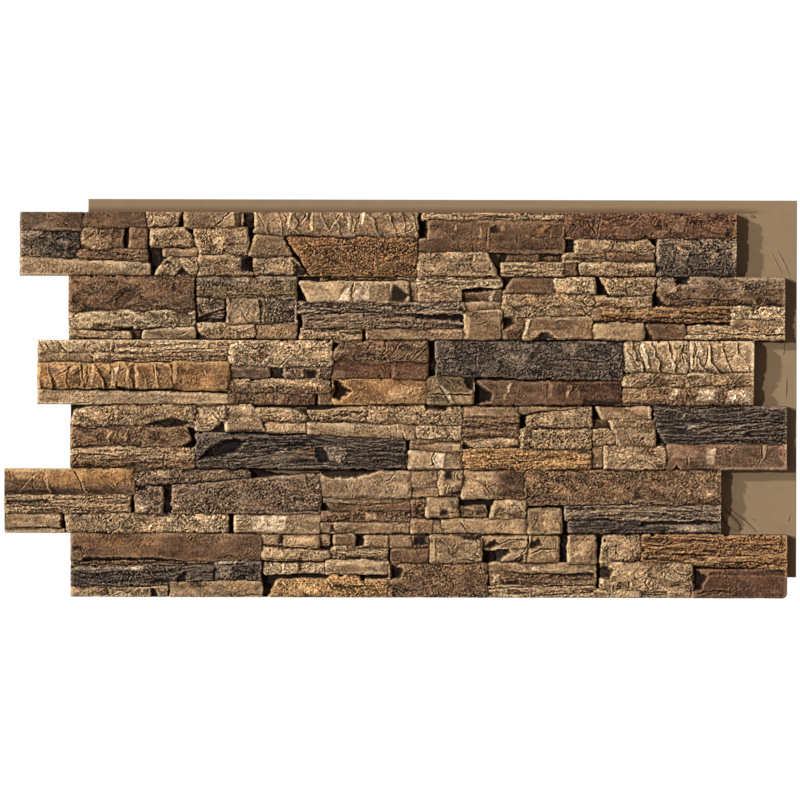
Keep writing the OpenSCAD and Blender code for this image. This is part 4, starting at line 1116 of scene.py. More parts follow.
# %% Marks of course five
FACETS += [
    (5, ((2, 94), (48, 94), (30, 72), (20, 62), (2, 62)), -0.8, -0.06, 0, "shade"),
    (5, ((12, 96), (58, 96), (52, 84), (20, 84)), 0.6, 0, 0.1, "light"),
    (5, ((62, 96), (106, 96), (118, 70), (76, 70)), 0.4, 0, 0, "honey"),
    (5, ((112, 97), (199, 98), (198, 74), (124, 72)), 0.5, 0, 0, "honey"),
    (5, ((2, 67), (200, 70), (200, 61), (2, 61)), -1.2, 0, 0.3, "dusk"),
    (5, ((110, 96), (115, 96), (131, 62), (126, 62)), 0.8, 0.4, 0, "light"),
    (5, ((62, 94), (66, 94), (74, 62), (69, 62)), 0.6, 0.4, 0, "light"),
    (5, ((4, 55), (196, 56), (196, 60), (4, 59)), 0.8, 0, 0.3, "light"),
    (5, ((172, 33), (195, 33), (195, 44), (176, 43)), 0.6, 0, 0, "light"),
    (5, ((6, 52), (70, 53), (70, 48), (6, 46)), -3, 0, 0, "dark"),
    (5, ((40, 30), (92, 30), (92, 38), (44, 38)), -1.5, 0, 0, "shade"),
    (5, ((56, 12), (88, 12), (88, 27), (60, 28)), 0.6, 0.04, 0, "pale"),
    (5, ((10, 14), (48, 13), (48, 19), (12, 20)), 0.5, 0, 0, "pale"),
    (5, ((89, 30), (95, 30), (102, 8), (95, 2), (90, 2)), -10, 0, 0, "dark"),
    (5, ((214, 2), (346, 2), (346, 14), (216, 15)), 0.6, 0, 0, "light"),
    (5, ((270, 16), (346, 15), (344, 28), (272, 28)), 0.4, 0, 0, "light"),
    (5, ((236, 27), (258, 26), (260, 31), (240, 31)), -5, 0, 0, "dark"),
    (5, ((204, 33), (232, 33), (246, 50), (246, 34), (240, 32)), -0.5, 0, 0, None),
    (5, ((206, 33), (222, 33), (228, 42), (208, 44)), 0.6, 0.1, 0, "chalk"),
    (5, ((208, 66), (222, 66), (220, 73), (206, 73)), -6, 0, 0, "dark"),
    (5, ((210, 84), (300, 88), (300, 95), (212, 95)), 0.4, 0, 0, "pale"),
    (5, ((262, 40), (300, 40), (320, 60), (264, 62)), 0.5, 0.02, 0, "pale"),
    (5, ((404, 96), (440, 91), (492, 90), (492, 101), (390, 101)), -8, 0, 0, "dark"),
    (5, ((264, 34), (490, 34), (490, 39), (264, 39)), -0.8, 0, 0.3, "shade"),
    (5, ((450, 50), (470, 51), (470, 56), (452, 56)), -3, 0, 0, "dark"),
    (5, ((384, 4), (436, 4), (440, 27), (390, 27)), 0.3, 0, 0, "white"),
    (5, ((490, 101), (602, 101), (572, 94), (562, 88), (510, 88), (494, 92)), -9, 0, 0, "dark"),
    (5, ((553, 60), (628, 60), (628, 92), (560, 84)), 0.4, 0, 0, "pale"),
    (5, ((496, 50), (528, 50), (526, 56), (496, 56)), 0.5, 0, 0.2, "chalk"),
    (5, ((498, 36), (506, 36), (500, 46), (494, 50)), -8, 0, 0, "dark"),
    (5, ((543, 21), (561, 21), (561, 32), (545, 32)), -2, -0.1, 0, "dusk"),
    (5, ((562, 21), (580, 21), (580, 32), (562, 32)), 0.6, 0.1, 0, "light"),
    (5, ((506, 2), (514, 2), (514, 13), (508, 14)), -3, -0.2, 0, "dusk"),
    (5, ((677, 60), (682, 60), (684, 96), (679, 97)), 0.5, 0.4, 0, "light"),
    (5, ((685, 85), (697, 85), (698, 98), (686, 98)), -5, 0, 0, "dark"),
    (5, ((693, 80), (699, 80), (704, 67), (699, 64)), 1.2, 0.1, 0, "white"),
    (5, ((698, 63), (712, 60), (712, 68), (704, 66)), -3, 0, 0, "dark"),
    (5, ((715, 84), (760, 84), (762, 96), (716, 96)), 0.5, 0, 0.04, "light"),
    (5, ((716, 60), (746, 60), (744, 80), (716, 82)), 0.5, 0.02, 0, "light"),
    (5, ((764, 58), (810, 58), (810, 96), (768, 96)), -1.5, -0.14, 0, "dusk"),
    (5, ((640, 27), (656, 27), (656, 38), (641, 38)), -2, -0.1, 0, "dusk"),
    (5, ((662, 36), (700, 36), (692, 52), (664, 52)), 0.6, 0.02, 0, "light"),
    (5, ((678, 28), (690, 28), (688, 38), (680, 37)), -5, 0, 0, "dark"),
    (5, ((768, 42), (806, 42), (804, 52), (770, 52)), 0.5, 0, 0.05, "light"),
    (5, ((770, 25), (806, 25), (806, 34), (772, 33)), -1, 0, 0, "shade"),
    (5, ((636, 2), (664, 2), (664, 20), (637, 20)), 0.3, 0, 0, "warm"),
    (5, ((686, 3), (808, 3), (808, 19), (686, 19)), 0.4, 0, 0, "light"),
    (5, ((838, 8), (864, 8), (862, 36), (842, 36)), 0.5, 0, 0, "light"),
    (5, ((816, 4), (834, 4), (832, 36), (817, 36)), -0.6, 0, 0, "shade"),
    (5, ((960, 22), (1004, 22), (1002, 26), (962, 25)), 0.8, 0, 0.3, "white"),
    (5, ((920, 30), (1060, 32), (1060, 42), (920, 40)), 0.4, 0, 0, "pale"),
    (5, ((1078, 26), (1112, 26), (1112, 44), (1080, 44)), -0.4, 0, 0, "ash"),
    (5, ((1032, 4), (1110, 4), (1108, 15), (1036, 14)), 0.5, 0, 0, "chalk"),
    (5, ((990, 15), (1114, 17), (1114, 22), (992, 21)), -6, 0, 0, "dark"),
    (5, ((900, 86), (1000, 88), (1000, 95), (902, 95)), -0.5, 0, 0, "shade"),
    (5, ((1060, 60), (1110, 60), (1110, 92), (1064, 92)), 0.4, 0, 0, "pale"),
]
CRACKS += [
    (5, ((21, 62), (28, 70), (38, 82), (50, 94)), 2.5),
    (5, ((45, 90), (46, 70), (50, 62)), 1.5),
    (5, ((61, 92), (62, 80), (72, 62)), 3),
    (5, ((108, 97), (116, 84), (121, 72), (128, 61)), 4),
    (5, ((125, 72), (133, 62)), 2.5),
    (5, ((147, 90), (160, 77), (172, 64)), 1.5),
    (5, ((195, 84), (190, 76), (188, 66)), 2),
    (5, ((8, 96), (12, 84)), 3),
    (5, ((80, 52), (130, 53), (192, 54)), 3),
    (5, ((166, 42), (180, 46), (196, 48)), 4),
    (5, ((10, 40), (60, 42), (100, 40)), 3),
    (5, ((100, 36), (150, 34), (194, 31)), 3),
    (5, ((14, 9), (50, 9), (92, 7)), 4),
    (5, ((278, 29), (281, 21)), 4),
    (5, ((297, 30), (300, 18)), 3),
    (5, ((330, 30), (332, 20), (326, 12)), 2.5),
    (5, ((180, 17), (179, 9), (166, 2)), 3.5),
    (5, ((330, 9), (342, 7)), 3),
    (5, ((412, 70), (422, 74), (426, 77)), 3),
    (5, ((412, 44), (424, 48), (434, 54)), 3),
    (5, ((380, 38), (392, 40)), 3),
    (5, ((358, 18), (372, 22)), 3),
    (5, ((541, 56), (543, 68), (546, 77)), 4.5),
    (5, ((528, 78), (537, 66), (538, 58)), 2.5),
    (5, ((548, 96), (549, 60)), 1.2),
    (5, ((592, 81), (600, 84), (611, 95)), 3),
    (5, ((594, 64), (600, 70)), 2),
    (5, ((520, 47), (560, 44), (600, 47)), 3),
    (5, ((512, 47), (520, 38)), 4),
    (5, ((700, 86), (702, 98)), 5),
    (5, ((748, 82), (750, 72), (758, 62)), 3.5),
    (5, ((740, 80), (748, 76)), 2.5),
    (5, ((684, 62), (690, 76), (700, 80)), 2.5),
    (5, ((692, 32), (702, 34), (708, 42)), 4),
    (5, ((744, 42), (752, 32)), 3),
    (5, ((800, 44), (808, 32)), 3.5),
    (5, ((710, 18), (716, 11), (724, 1)), 3),
    (5, ((822, 10), (830, 24)), 2.5),
    (5, ((1072, 88), (1080, 76)), 2.5),
    (5, ((890, 45), (960, 46), (1010, 49)), 3.5),
    (5, ((1080, 44), (1094, 36), (1106, 26)), 2),
    (5, ((1028, 2), (1028, 15)), 3),
]
print(len(FACETS), "facets and", len(CRACKS), "cracks")

# %% Marks of course six
FACETS += [
    (6, ((108, 73), (124, 74), (120, 79), (108, 78)), -4, 0, 0, "dark"),
    (6, ((105, 58), (122, 60), (124, 70), (106, 72)), -0.5, 0, 0, "shade"),
    (6, ((140, 66), (240, 66), (240, 88), (142, 88)), 0.3, 0, 0, "warm"),
    (6, ((122, 56), (288, 54), (240, 61), (124, 61)), -9, 0, 0, "dark"),
    (6, ((330, 60), (396, 60), (396, 70), (340, 68)), -0.8, 0, 0.1, "shade"),
    (6, ((108, 41), (222, 42), (218, 48), (112, 47)), 0.6, 0, 0.2, "chalk"),
    (6, ((230, 24), (250, 23), (262, 27), (240, 30)), -4, 0, 0, "dark"),
    (6, ((268, 24), (284, 22), (283, 40), (272, 34)), -5, 0, 0, "dark"),
    (6, ((206, 24), (232, 28), (224, 40), (208, 36)), -0.6, 0, 0, "dusk"),
    (6, ((284, 26), (324, 28), (324, 48), (288, 46)), 0.4, 0, 0, "ash"),
    (6, ((332, 52), (362, 53), (362, 57), (338, 57)), 0.8, 0, 0, "white"),
    (6, ((332, 32), (352, 30), (356, 48), (334, 46)), 0.5, 0, 0, "chalk"),
    (6, ((378, 28), (398, 28), (398, 52), (382, 50)), -0.8, -0.1, 0, "dusk"),
    (6, ((228, 1), (240, 1), (236, 12), (230, 15)), -5, 0, 0, "dark"),
    (6, ((262, 4), (326, 4), (324, 15), (264, 15)), 0.5, 0, 0, "pale"),
    (6, ((402, 40), (426, 28), (412, 20), (420, 12), (412, 4), (402, 4)), -9, 0, 0, "dark"),
    (6, ((406, 84), (424, 84), (424, 97), (404, 97)), 0.4, 0, 0, "light"),
    (6, ((428, 84), (434, 84), (434, 97), (429, 97)), -5, 0, 0, "dark"),
    (6, ((440, 82), (484, 82), (484, 96), (440, 96)), 0.3, 0, 0, "light"),
    (6, ((404, 64), (470, 64), (440, 76), (404, 78)), 0.4, 0, 0, "light"),
    (6, ((402, 28), (500, 29), (600, 30), (600, 37), (500, 38), (402, 38)), -3, 0, 0, "dark"),
    (6, ((520, 50), (588, 48), (590, 56), (510, 56)), 0.5, 0, 0, "light"),
    (6, ((440, 6), (490, 6), (488, 22), (444, 22)), 0.5, 0, 0, "light"),
    (6, ((536, 2), (592, 2), (592, 16), (540, 16)), -1, 0, 0, "warm"),
    (6, ((528, 22), (560, 20), (556, 30), (530, 30)), 0.6, 0, 0, "light"),
    (6, ((602, 30), (616, 32), (620, 44), (608, 52), (602, 52)), -10, 0, 0, "dark"),
    (6, ((602, 82), (630, 82), (630, 94), (604, 92)), 0.4, 0, 0, "light"),
    (6, ((636, 82), (658, 84), (656, 96), (638, 96)), -3, 0, 0, "dark"),
    (6, ((602, 56), (620, 56), (616, 74), (603, 72)), -2, 0.1, 0, "dusk"),
    (6, ((664, 58), (669, 58), (671, 96), (666, 96)), 0.5, 0.4, 0, "light"),
    (6, ((700, 60), (736, 66), (736, 86), (706, 82)), 0.5, 0.03, 0, "light"),
    (6, ((672, 60), (700, 60), (690, 72), (674, 70)), 0.8, 0, 0.1, "light"),
    (6, ((716, 92), (740, 90), (742, 97), (700, 98)), -5, 0, 0, "dark"),
    (6, ((756, 57), (768, 58), (786, 72), (784, 78), (762, 76)), -9, 0, 0, "dark"),
    (6, ((756, 78), (770, 84), (764, 90), (748, 80)), -6, 0, 0, "dark"),
    (6, ((786, 76), (813, 80), (812, 92), (790, 86)), 0.8, 0, 0, "light"),
    (6, ((776, 60), (800, 62), (806, 74), (786, 70)), 0.8, 0.02, 0, "rosy"),
    (6, ((788, 57), (806, 57), (808, 66)), -7, 0, 0, "dark"),
    (6, ((838, 80), (856, 80), (852, 94), (840, 92)), 0.8, 0, 0, "light"),
    (6, ((820, 76), (836, 84), (830, 94), (818, 84)), -4, 0, 0, "dark"),
    (6, ((824, 60), (858, 60), (858, 72), (834, 70)), 0.8, 0.02, 0, "light"),
    (6, ((882, 66), (912, 66), (914, 90), (896, 90)), 0.5, 0.03, 0, "light"),
    (6, ((879, 86), (896, 92), (888, 97), (879, 97)), -1.5, 0, 0, "dusk"),
    (6, ((820, 43), (832, 43), (832, 50), (822, 50)), 0.6, 0, 0, "white"),
    (6, ((840, 44), (914, 44), (914, 52), (842, 52)), 0.3, 0, 0, "light"),
    (6, ((758, 22), (770, 22), (770, 38), (758, 38)), 0.6, 0.1, 0, "white"),
    (6, ((850, 35), (918, 34), (918, 41), (852, 41)), -5, 0, 0, "dark"),
    (6, ((780, 20), (798, 20), (800, 32), (784, 32)), -2.5, 0, 0, "dusk"),
    (6, ((756, 4), (784, 4), (782, 14), (756, 14)), 0.6, 0.1, 0, "light"),
    (6, ((938, 64), (950, 62), (950, 80), (940, 84)), 0.8, 0.1, 0, "light"),
    (6, ((956, 66), (986, 66), (984, 90), (958, 90)), 0.4, 0, 0, "pale"),
    (6, ((994, 72), (1088, 72), (1086, 76), (996, 76)), 1, 0, 0.4, "honey"),
    (6, ((998, 60), (1050, 58), (1060, 70), (1000, 70)), -1.5, 0, -0.1, "dusk"),
    (6, ((1092, 52), (1112, 54), (1110, 66), (1094, 66)), 0.8, 0, 0, "light"),
    (6, ((1130, 60), (1214, 62), (1214, 68), (1132, 67)), 0.8, 0, 0.1, "honey"),
    (6, ((1170, 48), (1214, 48), (1214, 58), (1176, 56)), -1, 0, 0, "warm"),
    (6, ((1110, 80), (1214, 82), (1214, 92), (1112, 92)), -1.2, 0, 0, "shade"),
    (6, ((921, 30), (940, 32), (946, 42), (938, 50), (921, 50)), -10, 0, 0, "dark"),
    (6, ((950, 34), (1000, 34), (1000, 50), (952, 50)), 0.6, 0, 0, "light"),
    (6, ((950, 15), (972, 15), (974, 28), (956, 28)), -2.5, 0, 0, "dusk"),
    (6, ((1004, 16), (1060, 16), (1060, 40), (1006, 38)), 0.2, 0, 0, "pale"),
    (6, ((1072, 14), (1084, 16), (1092, 34), (1074, 48)), -8, 0, 0, "dark"),
    (6, ((1096, 37), (1214, 37), (1214, 43), (1098, 43)), -2, 0, 0, "dusk"),
    (6, ((1084, 2), (1150, 2), (1146, 12), (1088, 14)), -0.8, 0, 0, "shade"),
]
CRACKS += [
    (6, ((120, 74), (126, 68), (122, 64)), 3),
    (6, ((381, 68), (387, 77)), 2),
    (6, ((340, 62), (352, 66), (362, 62)), 2),
    (6, ((178, 20), (181, 32), (184, 42)), 3),
    (6, ((172, 28), (178, 34)), 2.5),
    (6, ((192, 26), (198, 34), (192, 42)), 2.5),
    (6, ((222, 43), (232, 32), (242, 25)), 4.5),
    (6, ((250, 50), (253, 40), (264, 32)), 3),
    (6, ((288, 28), (284, 38)), 2.5),
    (6, ((204, 34), (216, 36), (220, 44)), 2.5),
    (6, ((130, 20), (180, 17), (240, 18)), 4),
    (6, ((332, 50), (352, 52), (376, 54)), 4),
    (6, ((341, 28), (346, 35)), 2.5),
    (6, ((371, 28), (376, 33)), 2.5),
    (6, ((106, 54), (140, 52), (200, 55), (320, 52)), 3),
    (6, ((318, 18), (324, 23)), 2.5),
    (6, ((338, 22), (346, 14)), 2),
    (6, ((370, 3), (400, 5)), 3),
    (6, ((440, 79), (470, 76), (506, 74)), 4.5),
    (6, ((514, 70), (536, 66)), 3.5),
    (6, ((556, 70), (574, 69)), 2.5),
    (6, ((534, 19), (556, 18), (576, 19)), 4.5),
    (6, ((576, 18), (582, 8)), 3),
    (6, ((430, 26), (444, 8)), 2),
    (6, ((500, 28), (510, 16), (520, 12)), 3),
    (6, ((498, 30), (515, 34)), 2),
    (6, ((702, 92), (702, 85), (697, 78)), 3.5),
    (6, ((708, 78), (700, 71)), 3.5),
    (6, ((731, 93), (736, 86)), 4),
    (6, ((736, 76), (732, 68), (740, 64)), 3),
    (6, ((720, 60), (732, 58)), 3),
    (6, ((680, 90), (690, 80), (694, 70)), 2),
    (6, ((816, 98), (814, 82), (806, 68), (792, 58)), 6),
    (6, ((770, 84), (790, 92), (812, 90)), 4),
    (6, ((818, 70), (834, 75), (858, 78), (859, 92)), 5),
    (6, ((845, 67), (847, 58)), 3),
    (6, ((818, 92), (824, 88), (826, 82)), 3),
    (6, ((892, 84), (904, 96)), 2),
    (6, ((790, 34), (800, 26), (802, 18)), 3),
    (6, ((870, 36), (884, 24)), 2.5),
    (6, ((826, 5), (870, 7), (916, 10)), 4),
    (6, ((752, 15), (800, 18), (860, 19), (916, 22)), 3),
    (6, ((950, 84), (952, 70), (958, 64)), 3),
    (6, ((970, 88), (978, 80)), 2.5),
    (6, ((998, 84), (1020, 82), (1040, 88)), 3.5),
    (6, ((1110, 66), (1160, 68), (1214, 72)), 3.5),
    (6, ((1120, 58), (1170, 57), (1214, 52)), 3.5),
    (6, ((1140, 86), (1200, 84)), 3),
    (6, ((1040, 70), (1100, 68)), 3),
    (6, ((1060, 92), (1110, 90), (1140, 94)), 3),
    (6, ((1001, 34), (996, 24), (1004, 15)), 4.5),
    (6, ((972, 32), (970, 22), (978, 14)), 3.5),
    (6, ((992, 34), (984, 30)), 2.5),
    (6, ((1040, 46), (1050, 38), (1064, 36)), 2.5),
    (6, ((984, 14), (1000, 12), (1012, 14)), 3),
    (6, ((992, 7), (1010, 5), (1028, 7)), 4),
    (6, ((990, 3), (1012, 2), (1030, 3)), 3),
    (6, ((1076, 8), (1100, 13), (1130, 10)), 3),
    (6, ((1110, 9), (1118, 12), (1124, 8)), 3),
    (6, ((1150, 20), (1156, 12)), 2),
]
print(len(FACETS), "facets and", len(CRACKS), "cracks")

# %% Facets and cracks, cut
# Tints for the facets: pale, warm, rosy, ash, chalk and honey are the stones' own colours; light and white are partly
# paler patches and partly painted highlights on ridges and facets that face the lamps; shade is partly a darker brown
# and partly painted shade; dusk is painted shade on faces turned away and in hollows, and dark is painted shadow in the
# deep hollows.
TINTS_AND_PAINTED_LIGHT = {
    "white": (tone("ecdcc0"), 0.75),
    "light": (tone("d0b48c"), 0.5),
    "pale": (tone("c4aa88"), 0.35),
    "warm": (tone("a87e54"), 0.45),
    "rosy": (tone("b8947a"), 0.5),
    "ash": (tone("8a7d6a"), 0.5),
    "chalk": (tone("b8a890"), 0.9),
    "honey": (tone("c69a62"), 0.5),
    "shade": (tone("6a5138"), 0.35),
    "dusk": (tone("4a3626"), 0.65),
    "dark": (tone("35261a"), 0.92),
}


def window(points, c, margin):
    """The part of the wide grid round some points of a course, with its place on the rulers."""
    xs = [q[0] for q in points]
    ys = [q[1] for q in points]
    foot = course_foot(c)
    i0, i1 = np.searchsorted(wide_x, (min(xs) - margin, max(xs) + margin))
    j0 = max(np.searchsorted(wide_y, foot + min(ys) - margin), (len(START) - 1 - c) * ROWS)
    j1 = min(np.searchsorted(wide_y, foot + max(ys) + margin), (len(START) - c) * ROWS + 1)
    part = (slice(j0, j1), slice(i0, i1))
    x, y = np.meshgrid(wide_x[i0:i1], wide_y[j0:j1] - foot)
    bend_x = 2.2 * rough(x / 9, y / 7, 811, 3) + 0.5 * waves(x / 3, y / 3, 812)
    bend_y = 1.8 * rough(x / 9, y / 7, 813, 3) + 0.5 * waves(x / 3, y / 3, 814)
    return part, x + bend_x, y + bend_y


def owner_at(x, y, c):
    """The stone that lies at a place."""
    return field["owner"][np.searchsorted(wide_y, course_foot(c) + y), np.searchsorted(wide_x, x)]


def cut_facet(c, corners, lift, along, up, tint):
    part, x, y = window(corners, c, 3)
    n = len(corners)
    mx = sum(q[0] for q in corners) / n
    my = sum(q[1] for q in corners) / n
    depth = np.full(x.shape, 99.0)
    for k in range(n):
        (ax, ay), (bx, by) = corners[k], corners[(k + 1) % n]
        side = ((bx - ax) * (y - ay) - (by - ay) * (x - ax)) / math.hypot(bx - ax, by - ay)
        turn = (bx - ax) * (my - ay) - (by - ay) * (mx - ax)
        depth = np.minimum(depth, side if turn > 0 else -side)
    share = np.clip(depth / (5 if tint == "dark" else 2.4) + 0.5, 0, 1) * (field["owner"][part] == owner_at(mx, my, c))
    change = share * (lift + along * (x - mx) + up * (y - my))
    field["face"][part] += change
    field["height"][part] += change
    # The dark tint is painted shadow: its edge is softer and it takes no dry brush.
    if tint == "dark":
        field["brush"][part] *= 1 - share
    # The tint is painted over the facet: light and white paint highlights, dusk and dark paint shade and shadow.
    if tint:
        colour, strength = TINTS_AND_PAINTED_LIGHT[tint]
        patchy = np.clip(0.75 + 1.0 * rough(x / 6, y / 4, 815, 3), 0.3, 1)
        mix = share * strength * (1 if tint == "dark" else patchy)
        mix = mix[..., None]
        field["colour"][part] = field["colour"][part] * (1 - mix) + colour * field["speck"][part][..., None] * mix


def cut_crack(c, points, depth):
    part, x, y = window(points, c, 7)
    away = np.full(x.shape, 99.0)
    right = np.zeros(x.shape)
    for (ax, ay), (bx, by) in zip(points[:-1], points[1:]):
        length = (bx - ax) ** 2 + (by - ay) ** 2
        t = np.clip(((x - ax) * (bx - ax) + (y - ay) * (by - ay)) / length, 0, 1)
        far = np.hypot(x - ax - t * (bx - ax), y - ay - t * (by - ay))
        right = np.where(far < away, x - ax - t * (bx - ax) > 0, right)
        away = np.minimum(away, far)
    taper = 1.0
    for ex, ey in (points[0], points[-1]):
        taper = taper * np.clip(np.hypot(x - ex, y - ey) / 7 + 0.25, 0, 1)
    depth = depth * taper * np.clip(0.8 + 1.1 * rough(x / 8, y / 8, 816, 2), 0.1, 1.4)
    lip = 0.4 * depth * np.exp(-((away - 2.4) / 1.3) ** 2) * right
    change = lip - depth * np.clip(1.15 - away / 1.2, 0, 1)
    field["face"][part] += change
    field["height"][part] += change


# %% All the courses on one grid
STEP = 1.2
ROWS = 83
across = int(LENGTH / STEP) + 1
wide_x = np.arange(across) * STEP
wide_y = np.arange(len(START) * ROWS + 1) * COURSE / ROWS
shape = (len(wide_y), across)
field = {
    "height": np.full(shape, float(FLANGE)),
    "face": np.full(shape, float(FLANGE)),
    "owner": np.full(shape, -1),
    "colour": np.broadcast_to(SHADE, shape + (3,)).copy(),
    "wash": np.broadcast_to(SHADE * 0.5, shape + (3,)).copy(),
    "pale": np.broadcast_to(SHADE * 1.6, shape + (3,)).copy(),
    "brush": np.full(shape, 0.3),
    "grain": np.full(shape, 0.5),
    "speck": np.ones(shape),
}
GRAIN = {"smooth": 0.7, "split": 1.0, "grit": 1.4, "strata": 1.15, "slate": 1.1, "chisel": 0.9}


def lay_course(c):
    """Lays a course's stones into the wide grid."""
    foot = course_foot(c)
    j0 = (len(START) - 1 - c) * ROWS
    strip = slice(j0, j0 + ROWS + 1)
    inside_x = (wide_x >= START[c]) & (wide_x <= START[c] + COVERAGE)
    gx, gy = np.meshgrid(wide_x, wide_y[strip] - foot)
    bed = np.where(inside_x[None, :], BED + 1.2 * rough(gx / 5, gy / 4, 900 + c, 3), FLANGE)
    field["height"][strip] = np.maximum(field["height"][strip], bed)
    field["face"][strip] = np.maximum(field["face"][strip], bed)
    for k, row in enumerate(COURSES[c]):
        seed = 1000 * (c + 1) + 7 * k
        lean = row[7].get("lean", (0, 0))
        rise = row[7].get("rise", (0, 0))
        i0 = np.searchsorted(wide_x, max(row[0] + min(0, lean[0]) - 5, START[c]))
        i1 = np.searchsorted(wide_x, min(row[1] + max(0, lean[1]) + 5, START[c] + COVERAGE))
        k0 = max(j0, np.searchsorted(wide_y, foot + row[2] + min(0, rise[1]) - 5))
        k1 = min(j0 + ROWS + 1, np.searchsorted(wide_y, foot + row[3] + max(0, rise[0]) + 5))
        part = (slice(k0, k1), slice(i0, i1))
        x, y = np.meshgrid(wide_x[i0:i1], wide_y[k0:k1] - foot)
        face, top, depth, along, up = lay_stone(x, y, row, seed)
        wins = (depth > -2.5) & (top > field["height"][part])
        field["height"][part] = np.where(wins, top, field["height"][part])
        field["face"][part] = np.where(wins, face, field["face"][part])
        field["owner"][part] = np.where(wins, 100 * c + k, field["owner"][part])
        paint = ground_of(row, x, y, along, up, seed, part, wins)
        for name, value in zip(("colour", "wash", "pale"), paint):
            field[name][part] = np.where(wins[..., None], value, field[name][part])
        field["brush"][part] = np.where(wins, BRUSH[row[5]], field["brush"][part])
        field["grain"][part] = np.where(wins, GRAIN[row[5]], field["grain"][part])


for c in range(len(START)):
    lay_course(c)
for row in FACETS:
    cut_facet(row[0] - 1, *row[1:])
for row in CRACKS:
    cut_crack(row[0] - 1, *row[1:])
print("wide grid", shape)

# %% Joints, wash and dry brush, with painted shade and highlights
gx, gy = np.meshgrid(wide_x, wide_y)
from_line = np.abs((gy + COURSE / 2) % COURSE - COURSE / 2)
from_line = np.where((gy < 2) | (gy > len(START) * COURSE - 2), 9, from_line)
line = np.clip(1 - from_line / 1.5, 0, 1) * (2.4 + 2.2 * rough(gx / 21, gy / 90, 951, 2))
face = np.where(field["face"] > 34.5, 34.5 + 3.4 * np.tanh((field["face"] - 34.5) / 3.4), field["face"])
joined = np.maximum(face - (field["face"] - field["height"]) - line, FLANGE)
near = face - blurred(face, 1)
local = face - blurred(face, 3)
sunk = np.clip((face - joined - 2.6) / 5.0, 0, 1)
# deep: how far a point lies below 24 mm, which darkens the wide hollows as painted shade.
deep = np.clip((24 - joined) / 8, 0, 1)
# The wash darkens the low places and the pale brush lifts the high ones: partly the panel's own paint, partly painted
# shade in hollows and joints and painted highlights on crests.
wash_and_hollow_shade = np.clip(-(near * 0.6 + local * 0.26) + 0.9 * sunk + 0.3 * deep, 0, 0.94)[..., None]
brush_and_crest_highlight = np.clip((near * 1.4 + local * 0.26) * field["brush"] * (1 - sunk), 0, 0.9)[..., None]
colour = field["colour"]
colour = colour * (1 - wash_and_hollow_shade) + field["wash"] * wash_and_hollow_shade
colour = np.clip(colour * (1 - brush_and_crest_highlight) + field["pale"] * brush_and_crest_highlight, 0, 1)
light = colour.mean(axis=-1, keepdims=True)
colour = colour * (light / 0.17) ** 0.36 * np.array([0.79, 0.71, 0.62])
# Darkens the joints, the hollows and the bare bed towards near black: dark paint in the narrow joints, and painted
# shadow on the bare bed and in the wide hollows.
bare_bed_shade = np.clip(blurred((field["owner"] < 0).astype(float), 1) * 1.4, 0, 1)
joint_paint_and_shade = np.clip(1.0 * sunk + 0.3 * deep + 0.8 * bare_bed_shade, 0, 0.9)[..., None]
colour = colour * (1 - joint_paint_and_shade) + tone("1e130b") * joint_paint_and_shade
print("relief", round(float(joined.min()), 1), "to", round(float(joined.max()), 1), "mm")

# %% [markdown]
# ## From grid to closed skin
# Blender's grid primitive is added at the course's size and place, and its points are moved to the
# relief. By hand one would sculpt it, but two hundred stones with their own grain are quicker and
# more even as numbers. Then the rim of the grid is extruded down to the plane on which the ends lap
# over the next panel, and filled, which makes each course a closed body.

# %% Skin of a course
def make_course(c):
    j0 = (len(START) - 1 - c) * ROWS
    i0 = int(math.ceil((START[c] + 0.7) / STEP))
    i1 = int(math.floor((START[c] + COVERAGE - 0.7) / STEP)) + 1
    part = (slice(j0, j0 + ROWS + 1), slice(i0, i1))
    x = gx[part].copy()
    x[:, 0] = START[c] + JOINT / 2
    x[:, -1] = START[c] + COVERAGE - JOINT / 2
    y = gy[part].copy()
    if c == 0:
        y[-1] -= JOINT / 2
    if c == len(START) - 1:
        y[0] += JOINT / 2
    rows, columns = x.shape
    bpy.ops.object.select_all(action="DESELECT")
    bpy.ops.mesh.primitive_grid_add(
        x_subdivisions=columns - 1, y_subdivisions=rows - 1, size=1, location=(0, 0, 0))
    skin = bpy.context.object
    skin.name = f"course_{c + 1}"
    skin.data.name = skin.name
    px = (x - MIDDLE_X) / 1000
    py = (y - MIDDLE_Y) / 1000
    if c == len(START) - 1:
        px, py = round_corner(px, py)
    points = np.stack([px, py, joined[part] / 1000], axis=-1).reshape(-1, 3).astype(np.float32)
    skin.data.vertices.foreach_set("co", points.ravel())
    paint = skin.data.color_attributes.new(name="paint", type="FLOAT_COLOR", domain="POINT")
    rgba = np.concatenate([colour[part], np.ones(x.shape + (1,))], axis=-1)
    paint.data.foreach_set("color", rgba.reshape(-1).astype(np.float32))
    grit = skin.data.attributes.new(name="grit", type="FLOAT", domain="POINT")
    grit.data.foreach_set("value", field["grain"][part].reshape(-1).astype(np.float32))
    skin.data.update()
    close_back(skin)
    paint_walls(skin, rows * columns)
    return skin


def round_corner(px, py):
    """Draws the outer corner of the bottom course in to its radius."""
    right = (START[-1] + COVERAGE - JOINT / 2 - MIDDLE_X) / 1000
    foot = (JOINT / 2 - MIDDLE_Y) / 1000
    r = CORNER / 1000
    u = np.clip((px - (right - r)) / r, 0, 1)
    v = np.clip(((foot + r) - py) / r, 0, 1)
    both = (u > 0) & (v > 0)
    reach = np.maximum(u, v)
    length = np.maximum(np.hypot(u, v), 1e-6)
    px = np.where(both, right - r + r * u * reach / length, px)
    py = np.where(both, foot + r - r * v * reach / length, py)
    return px, py


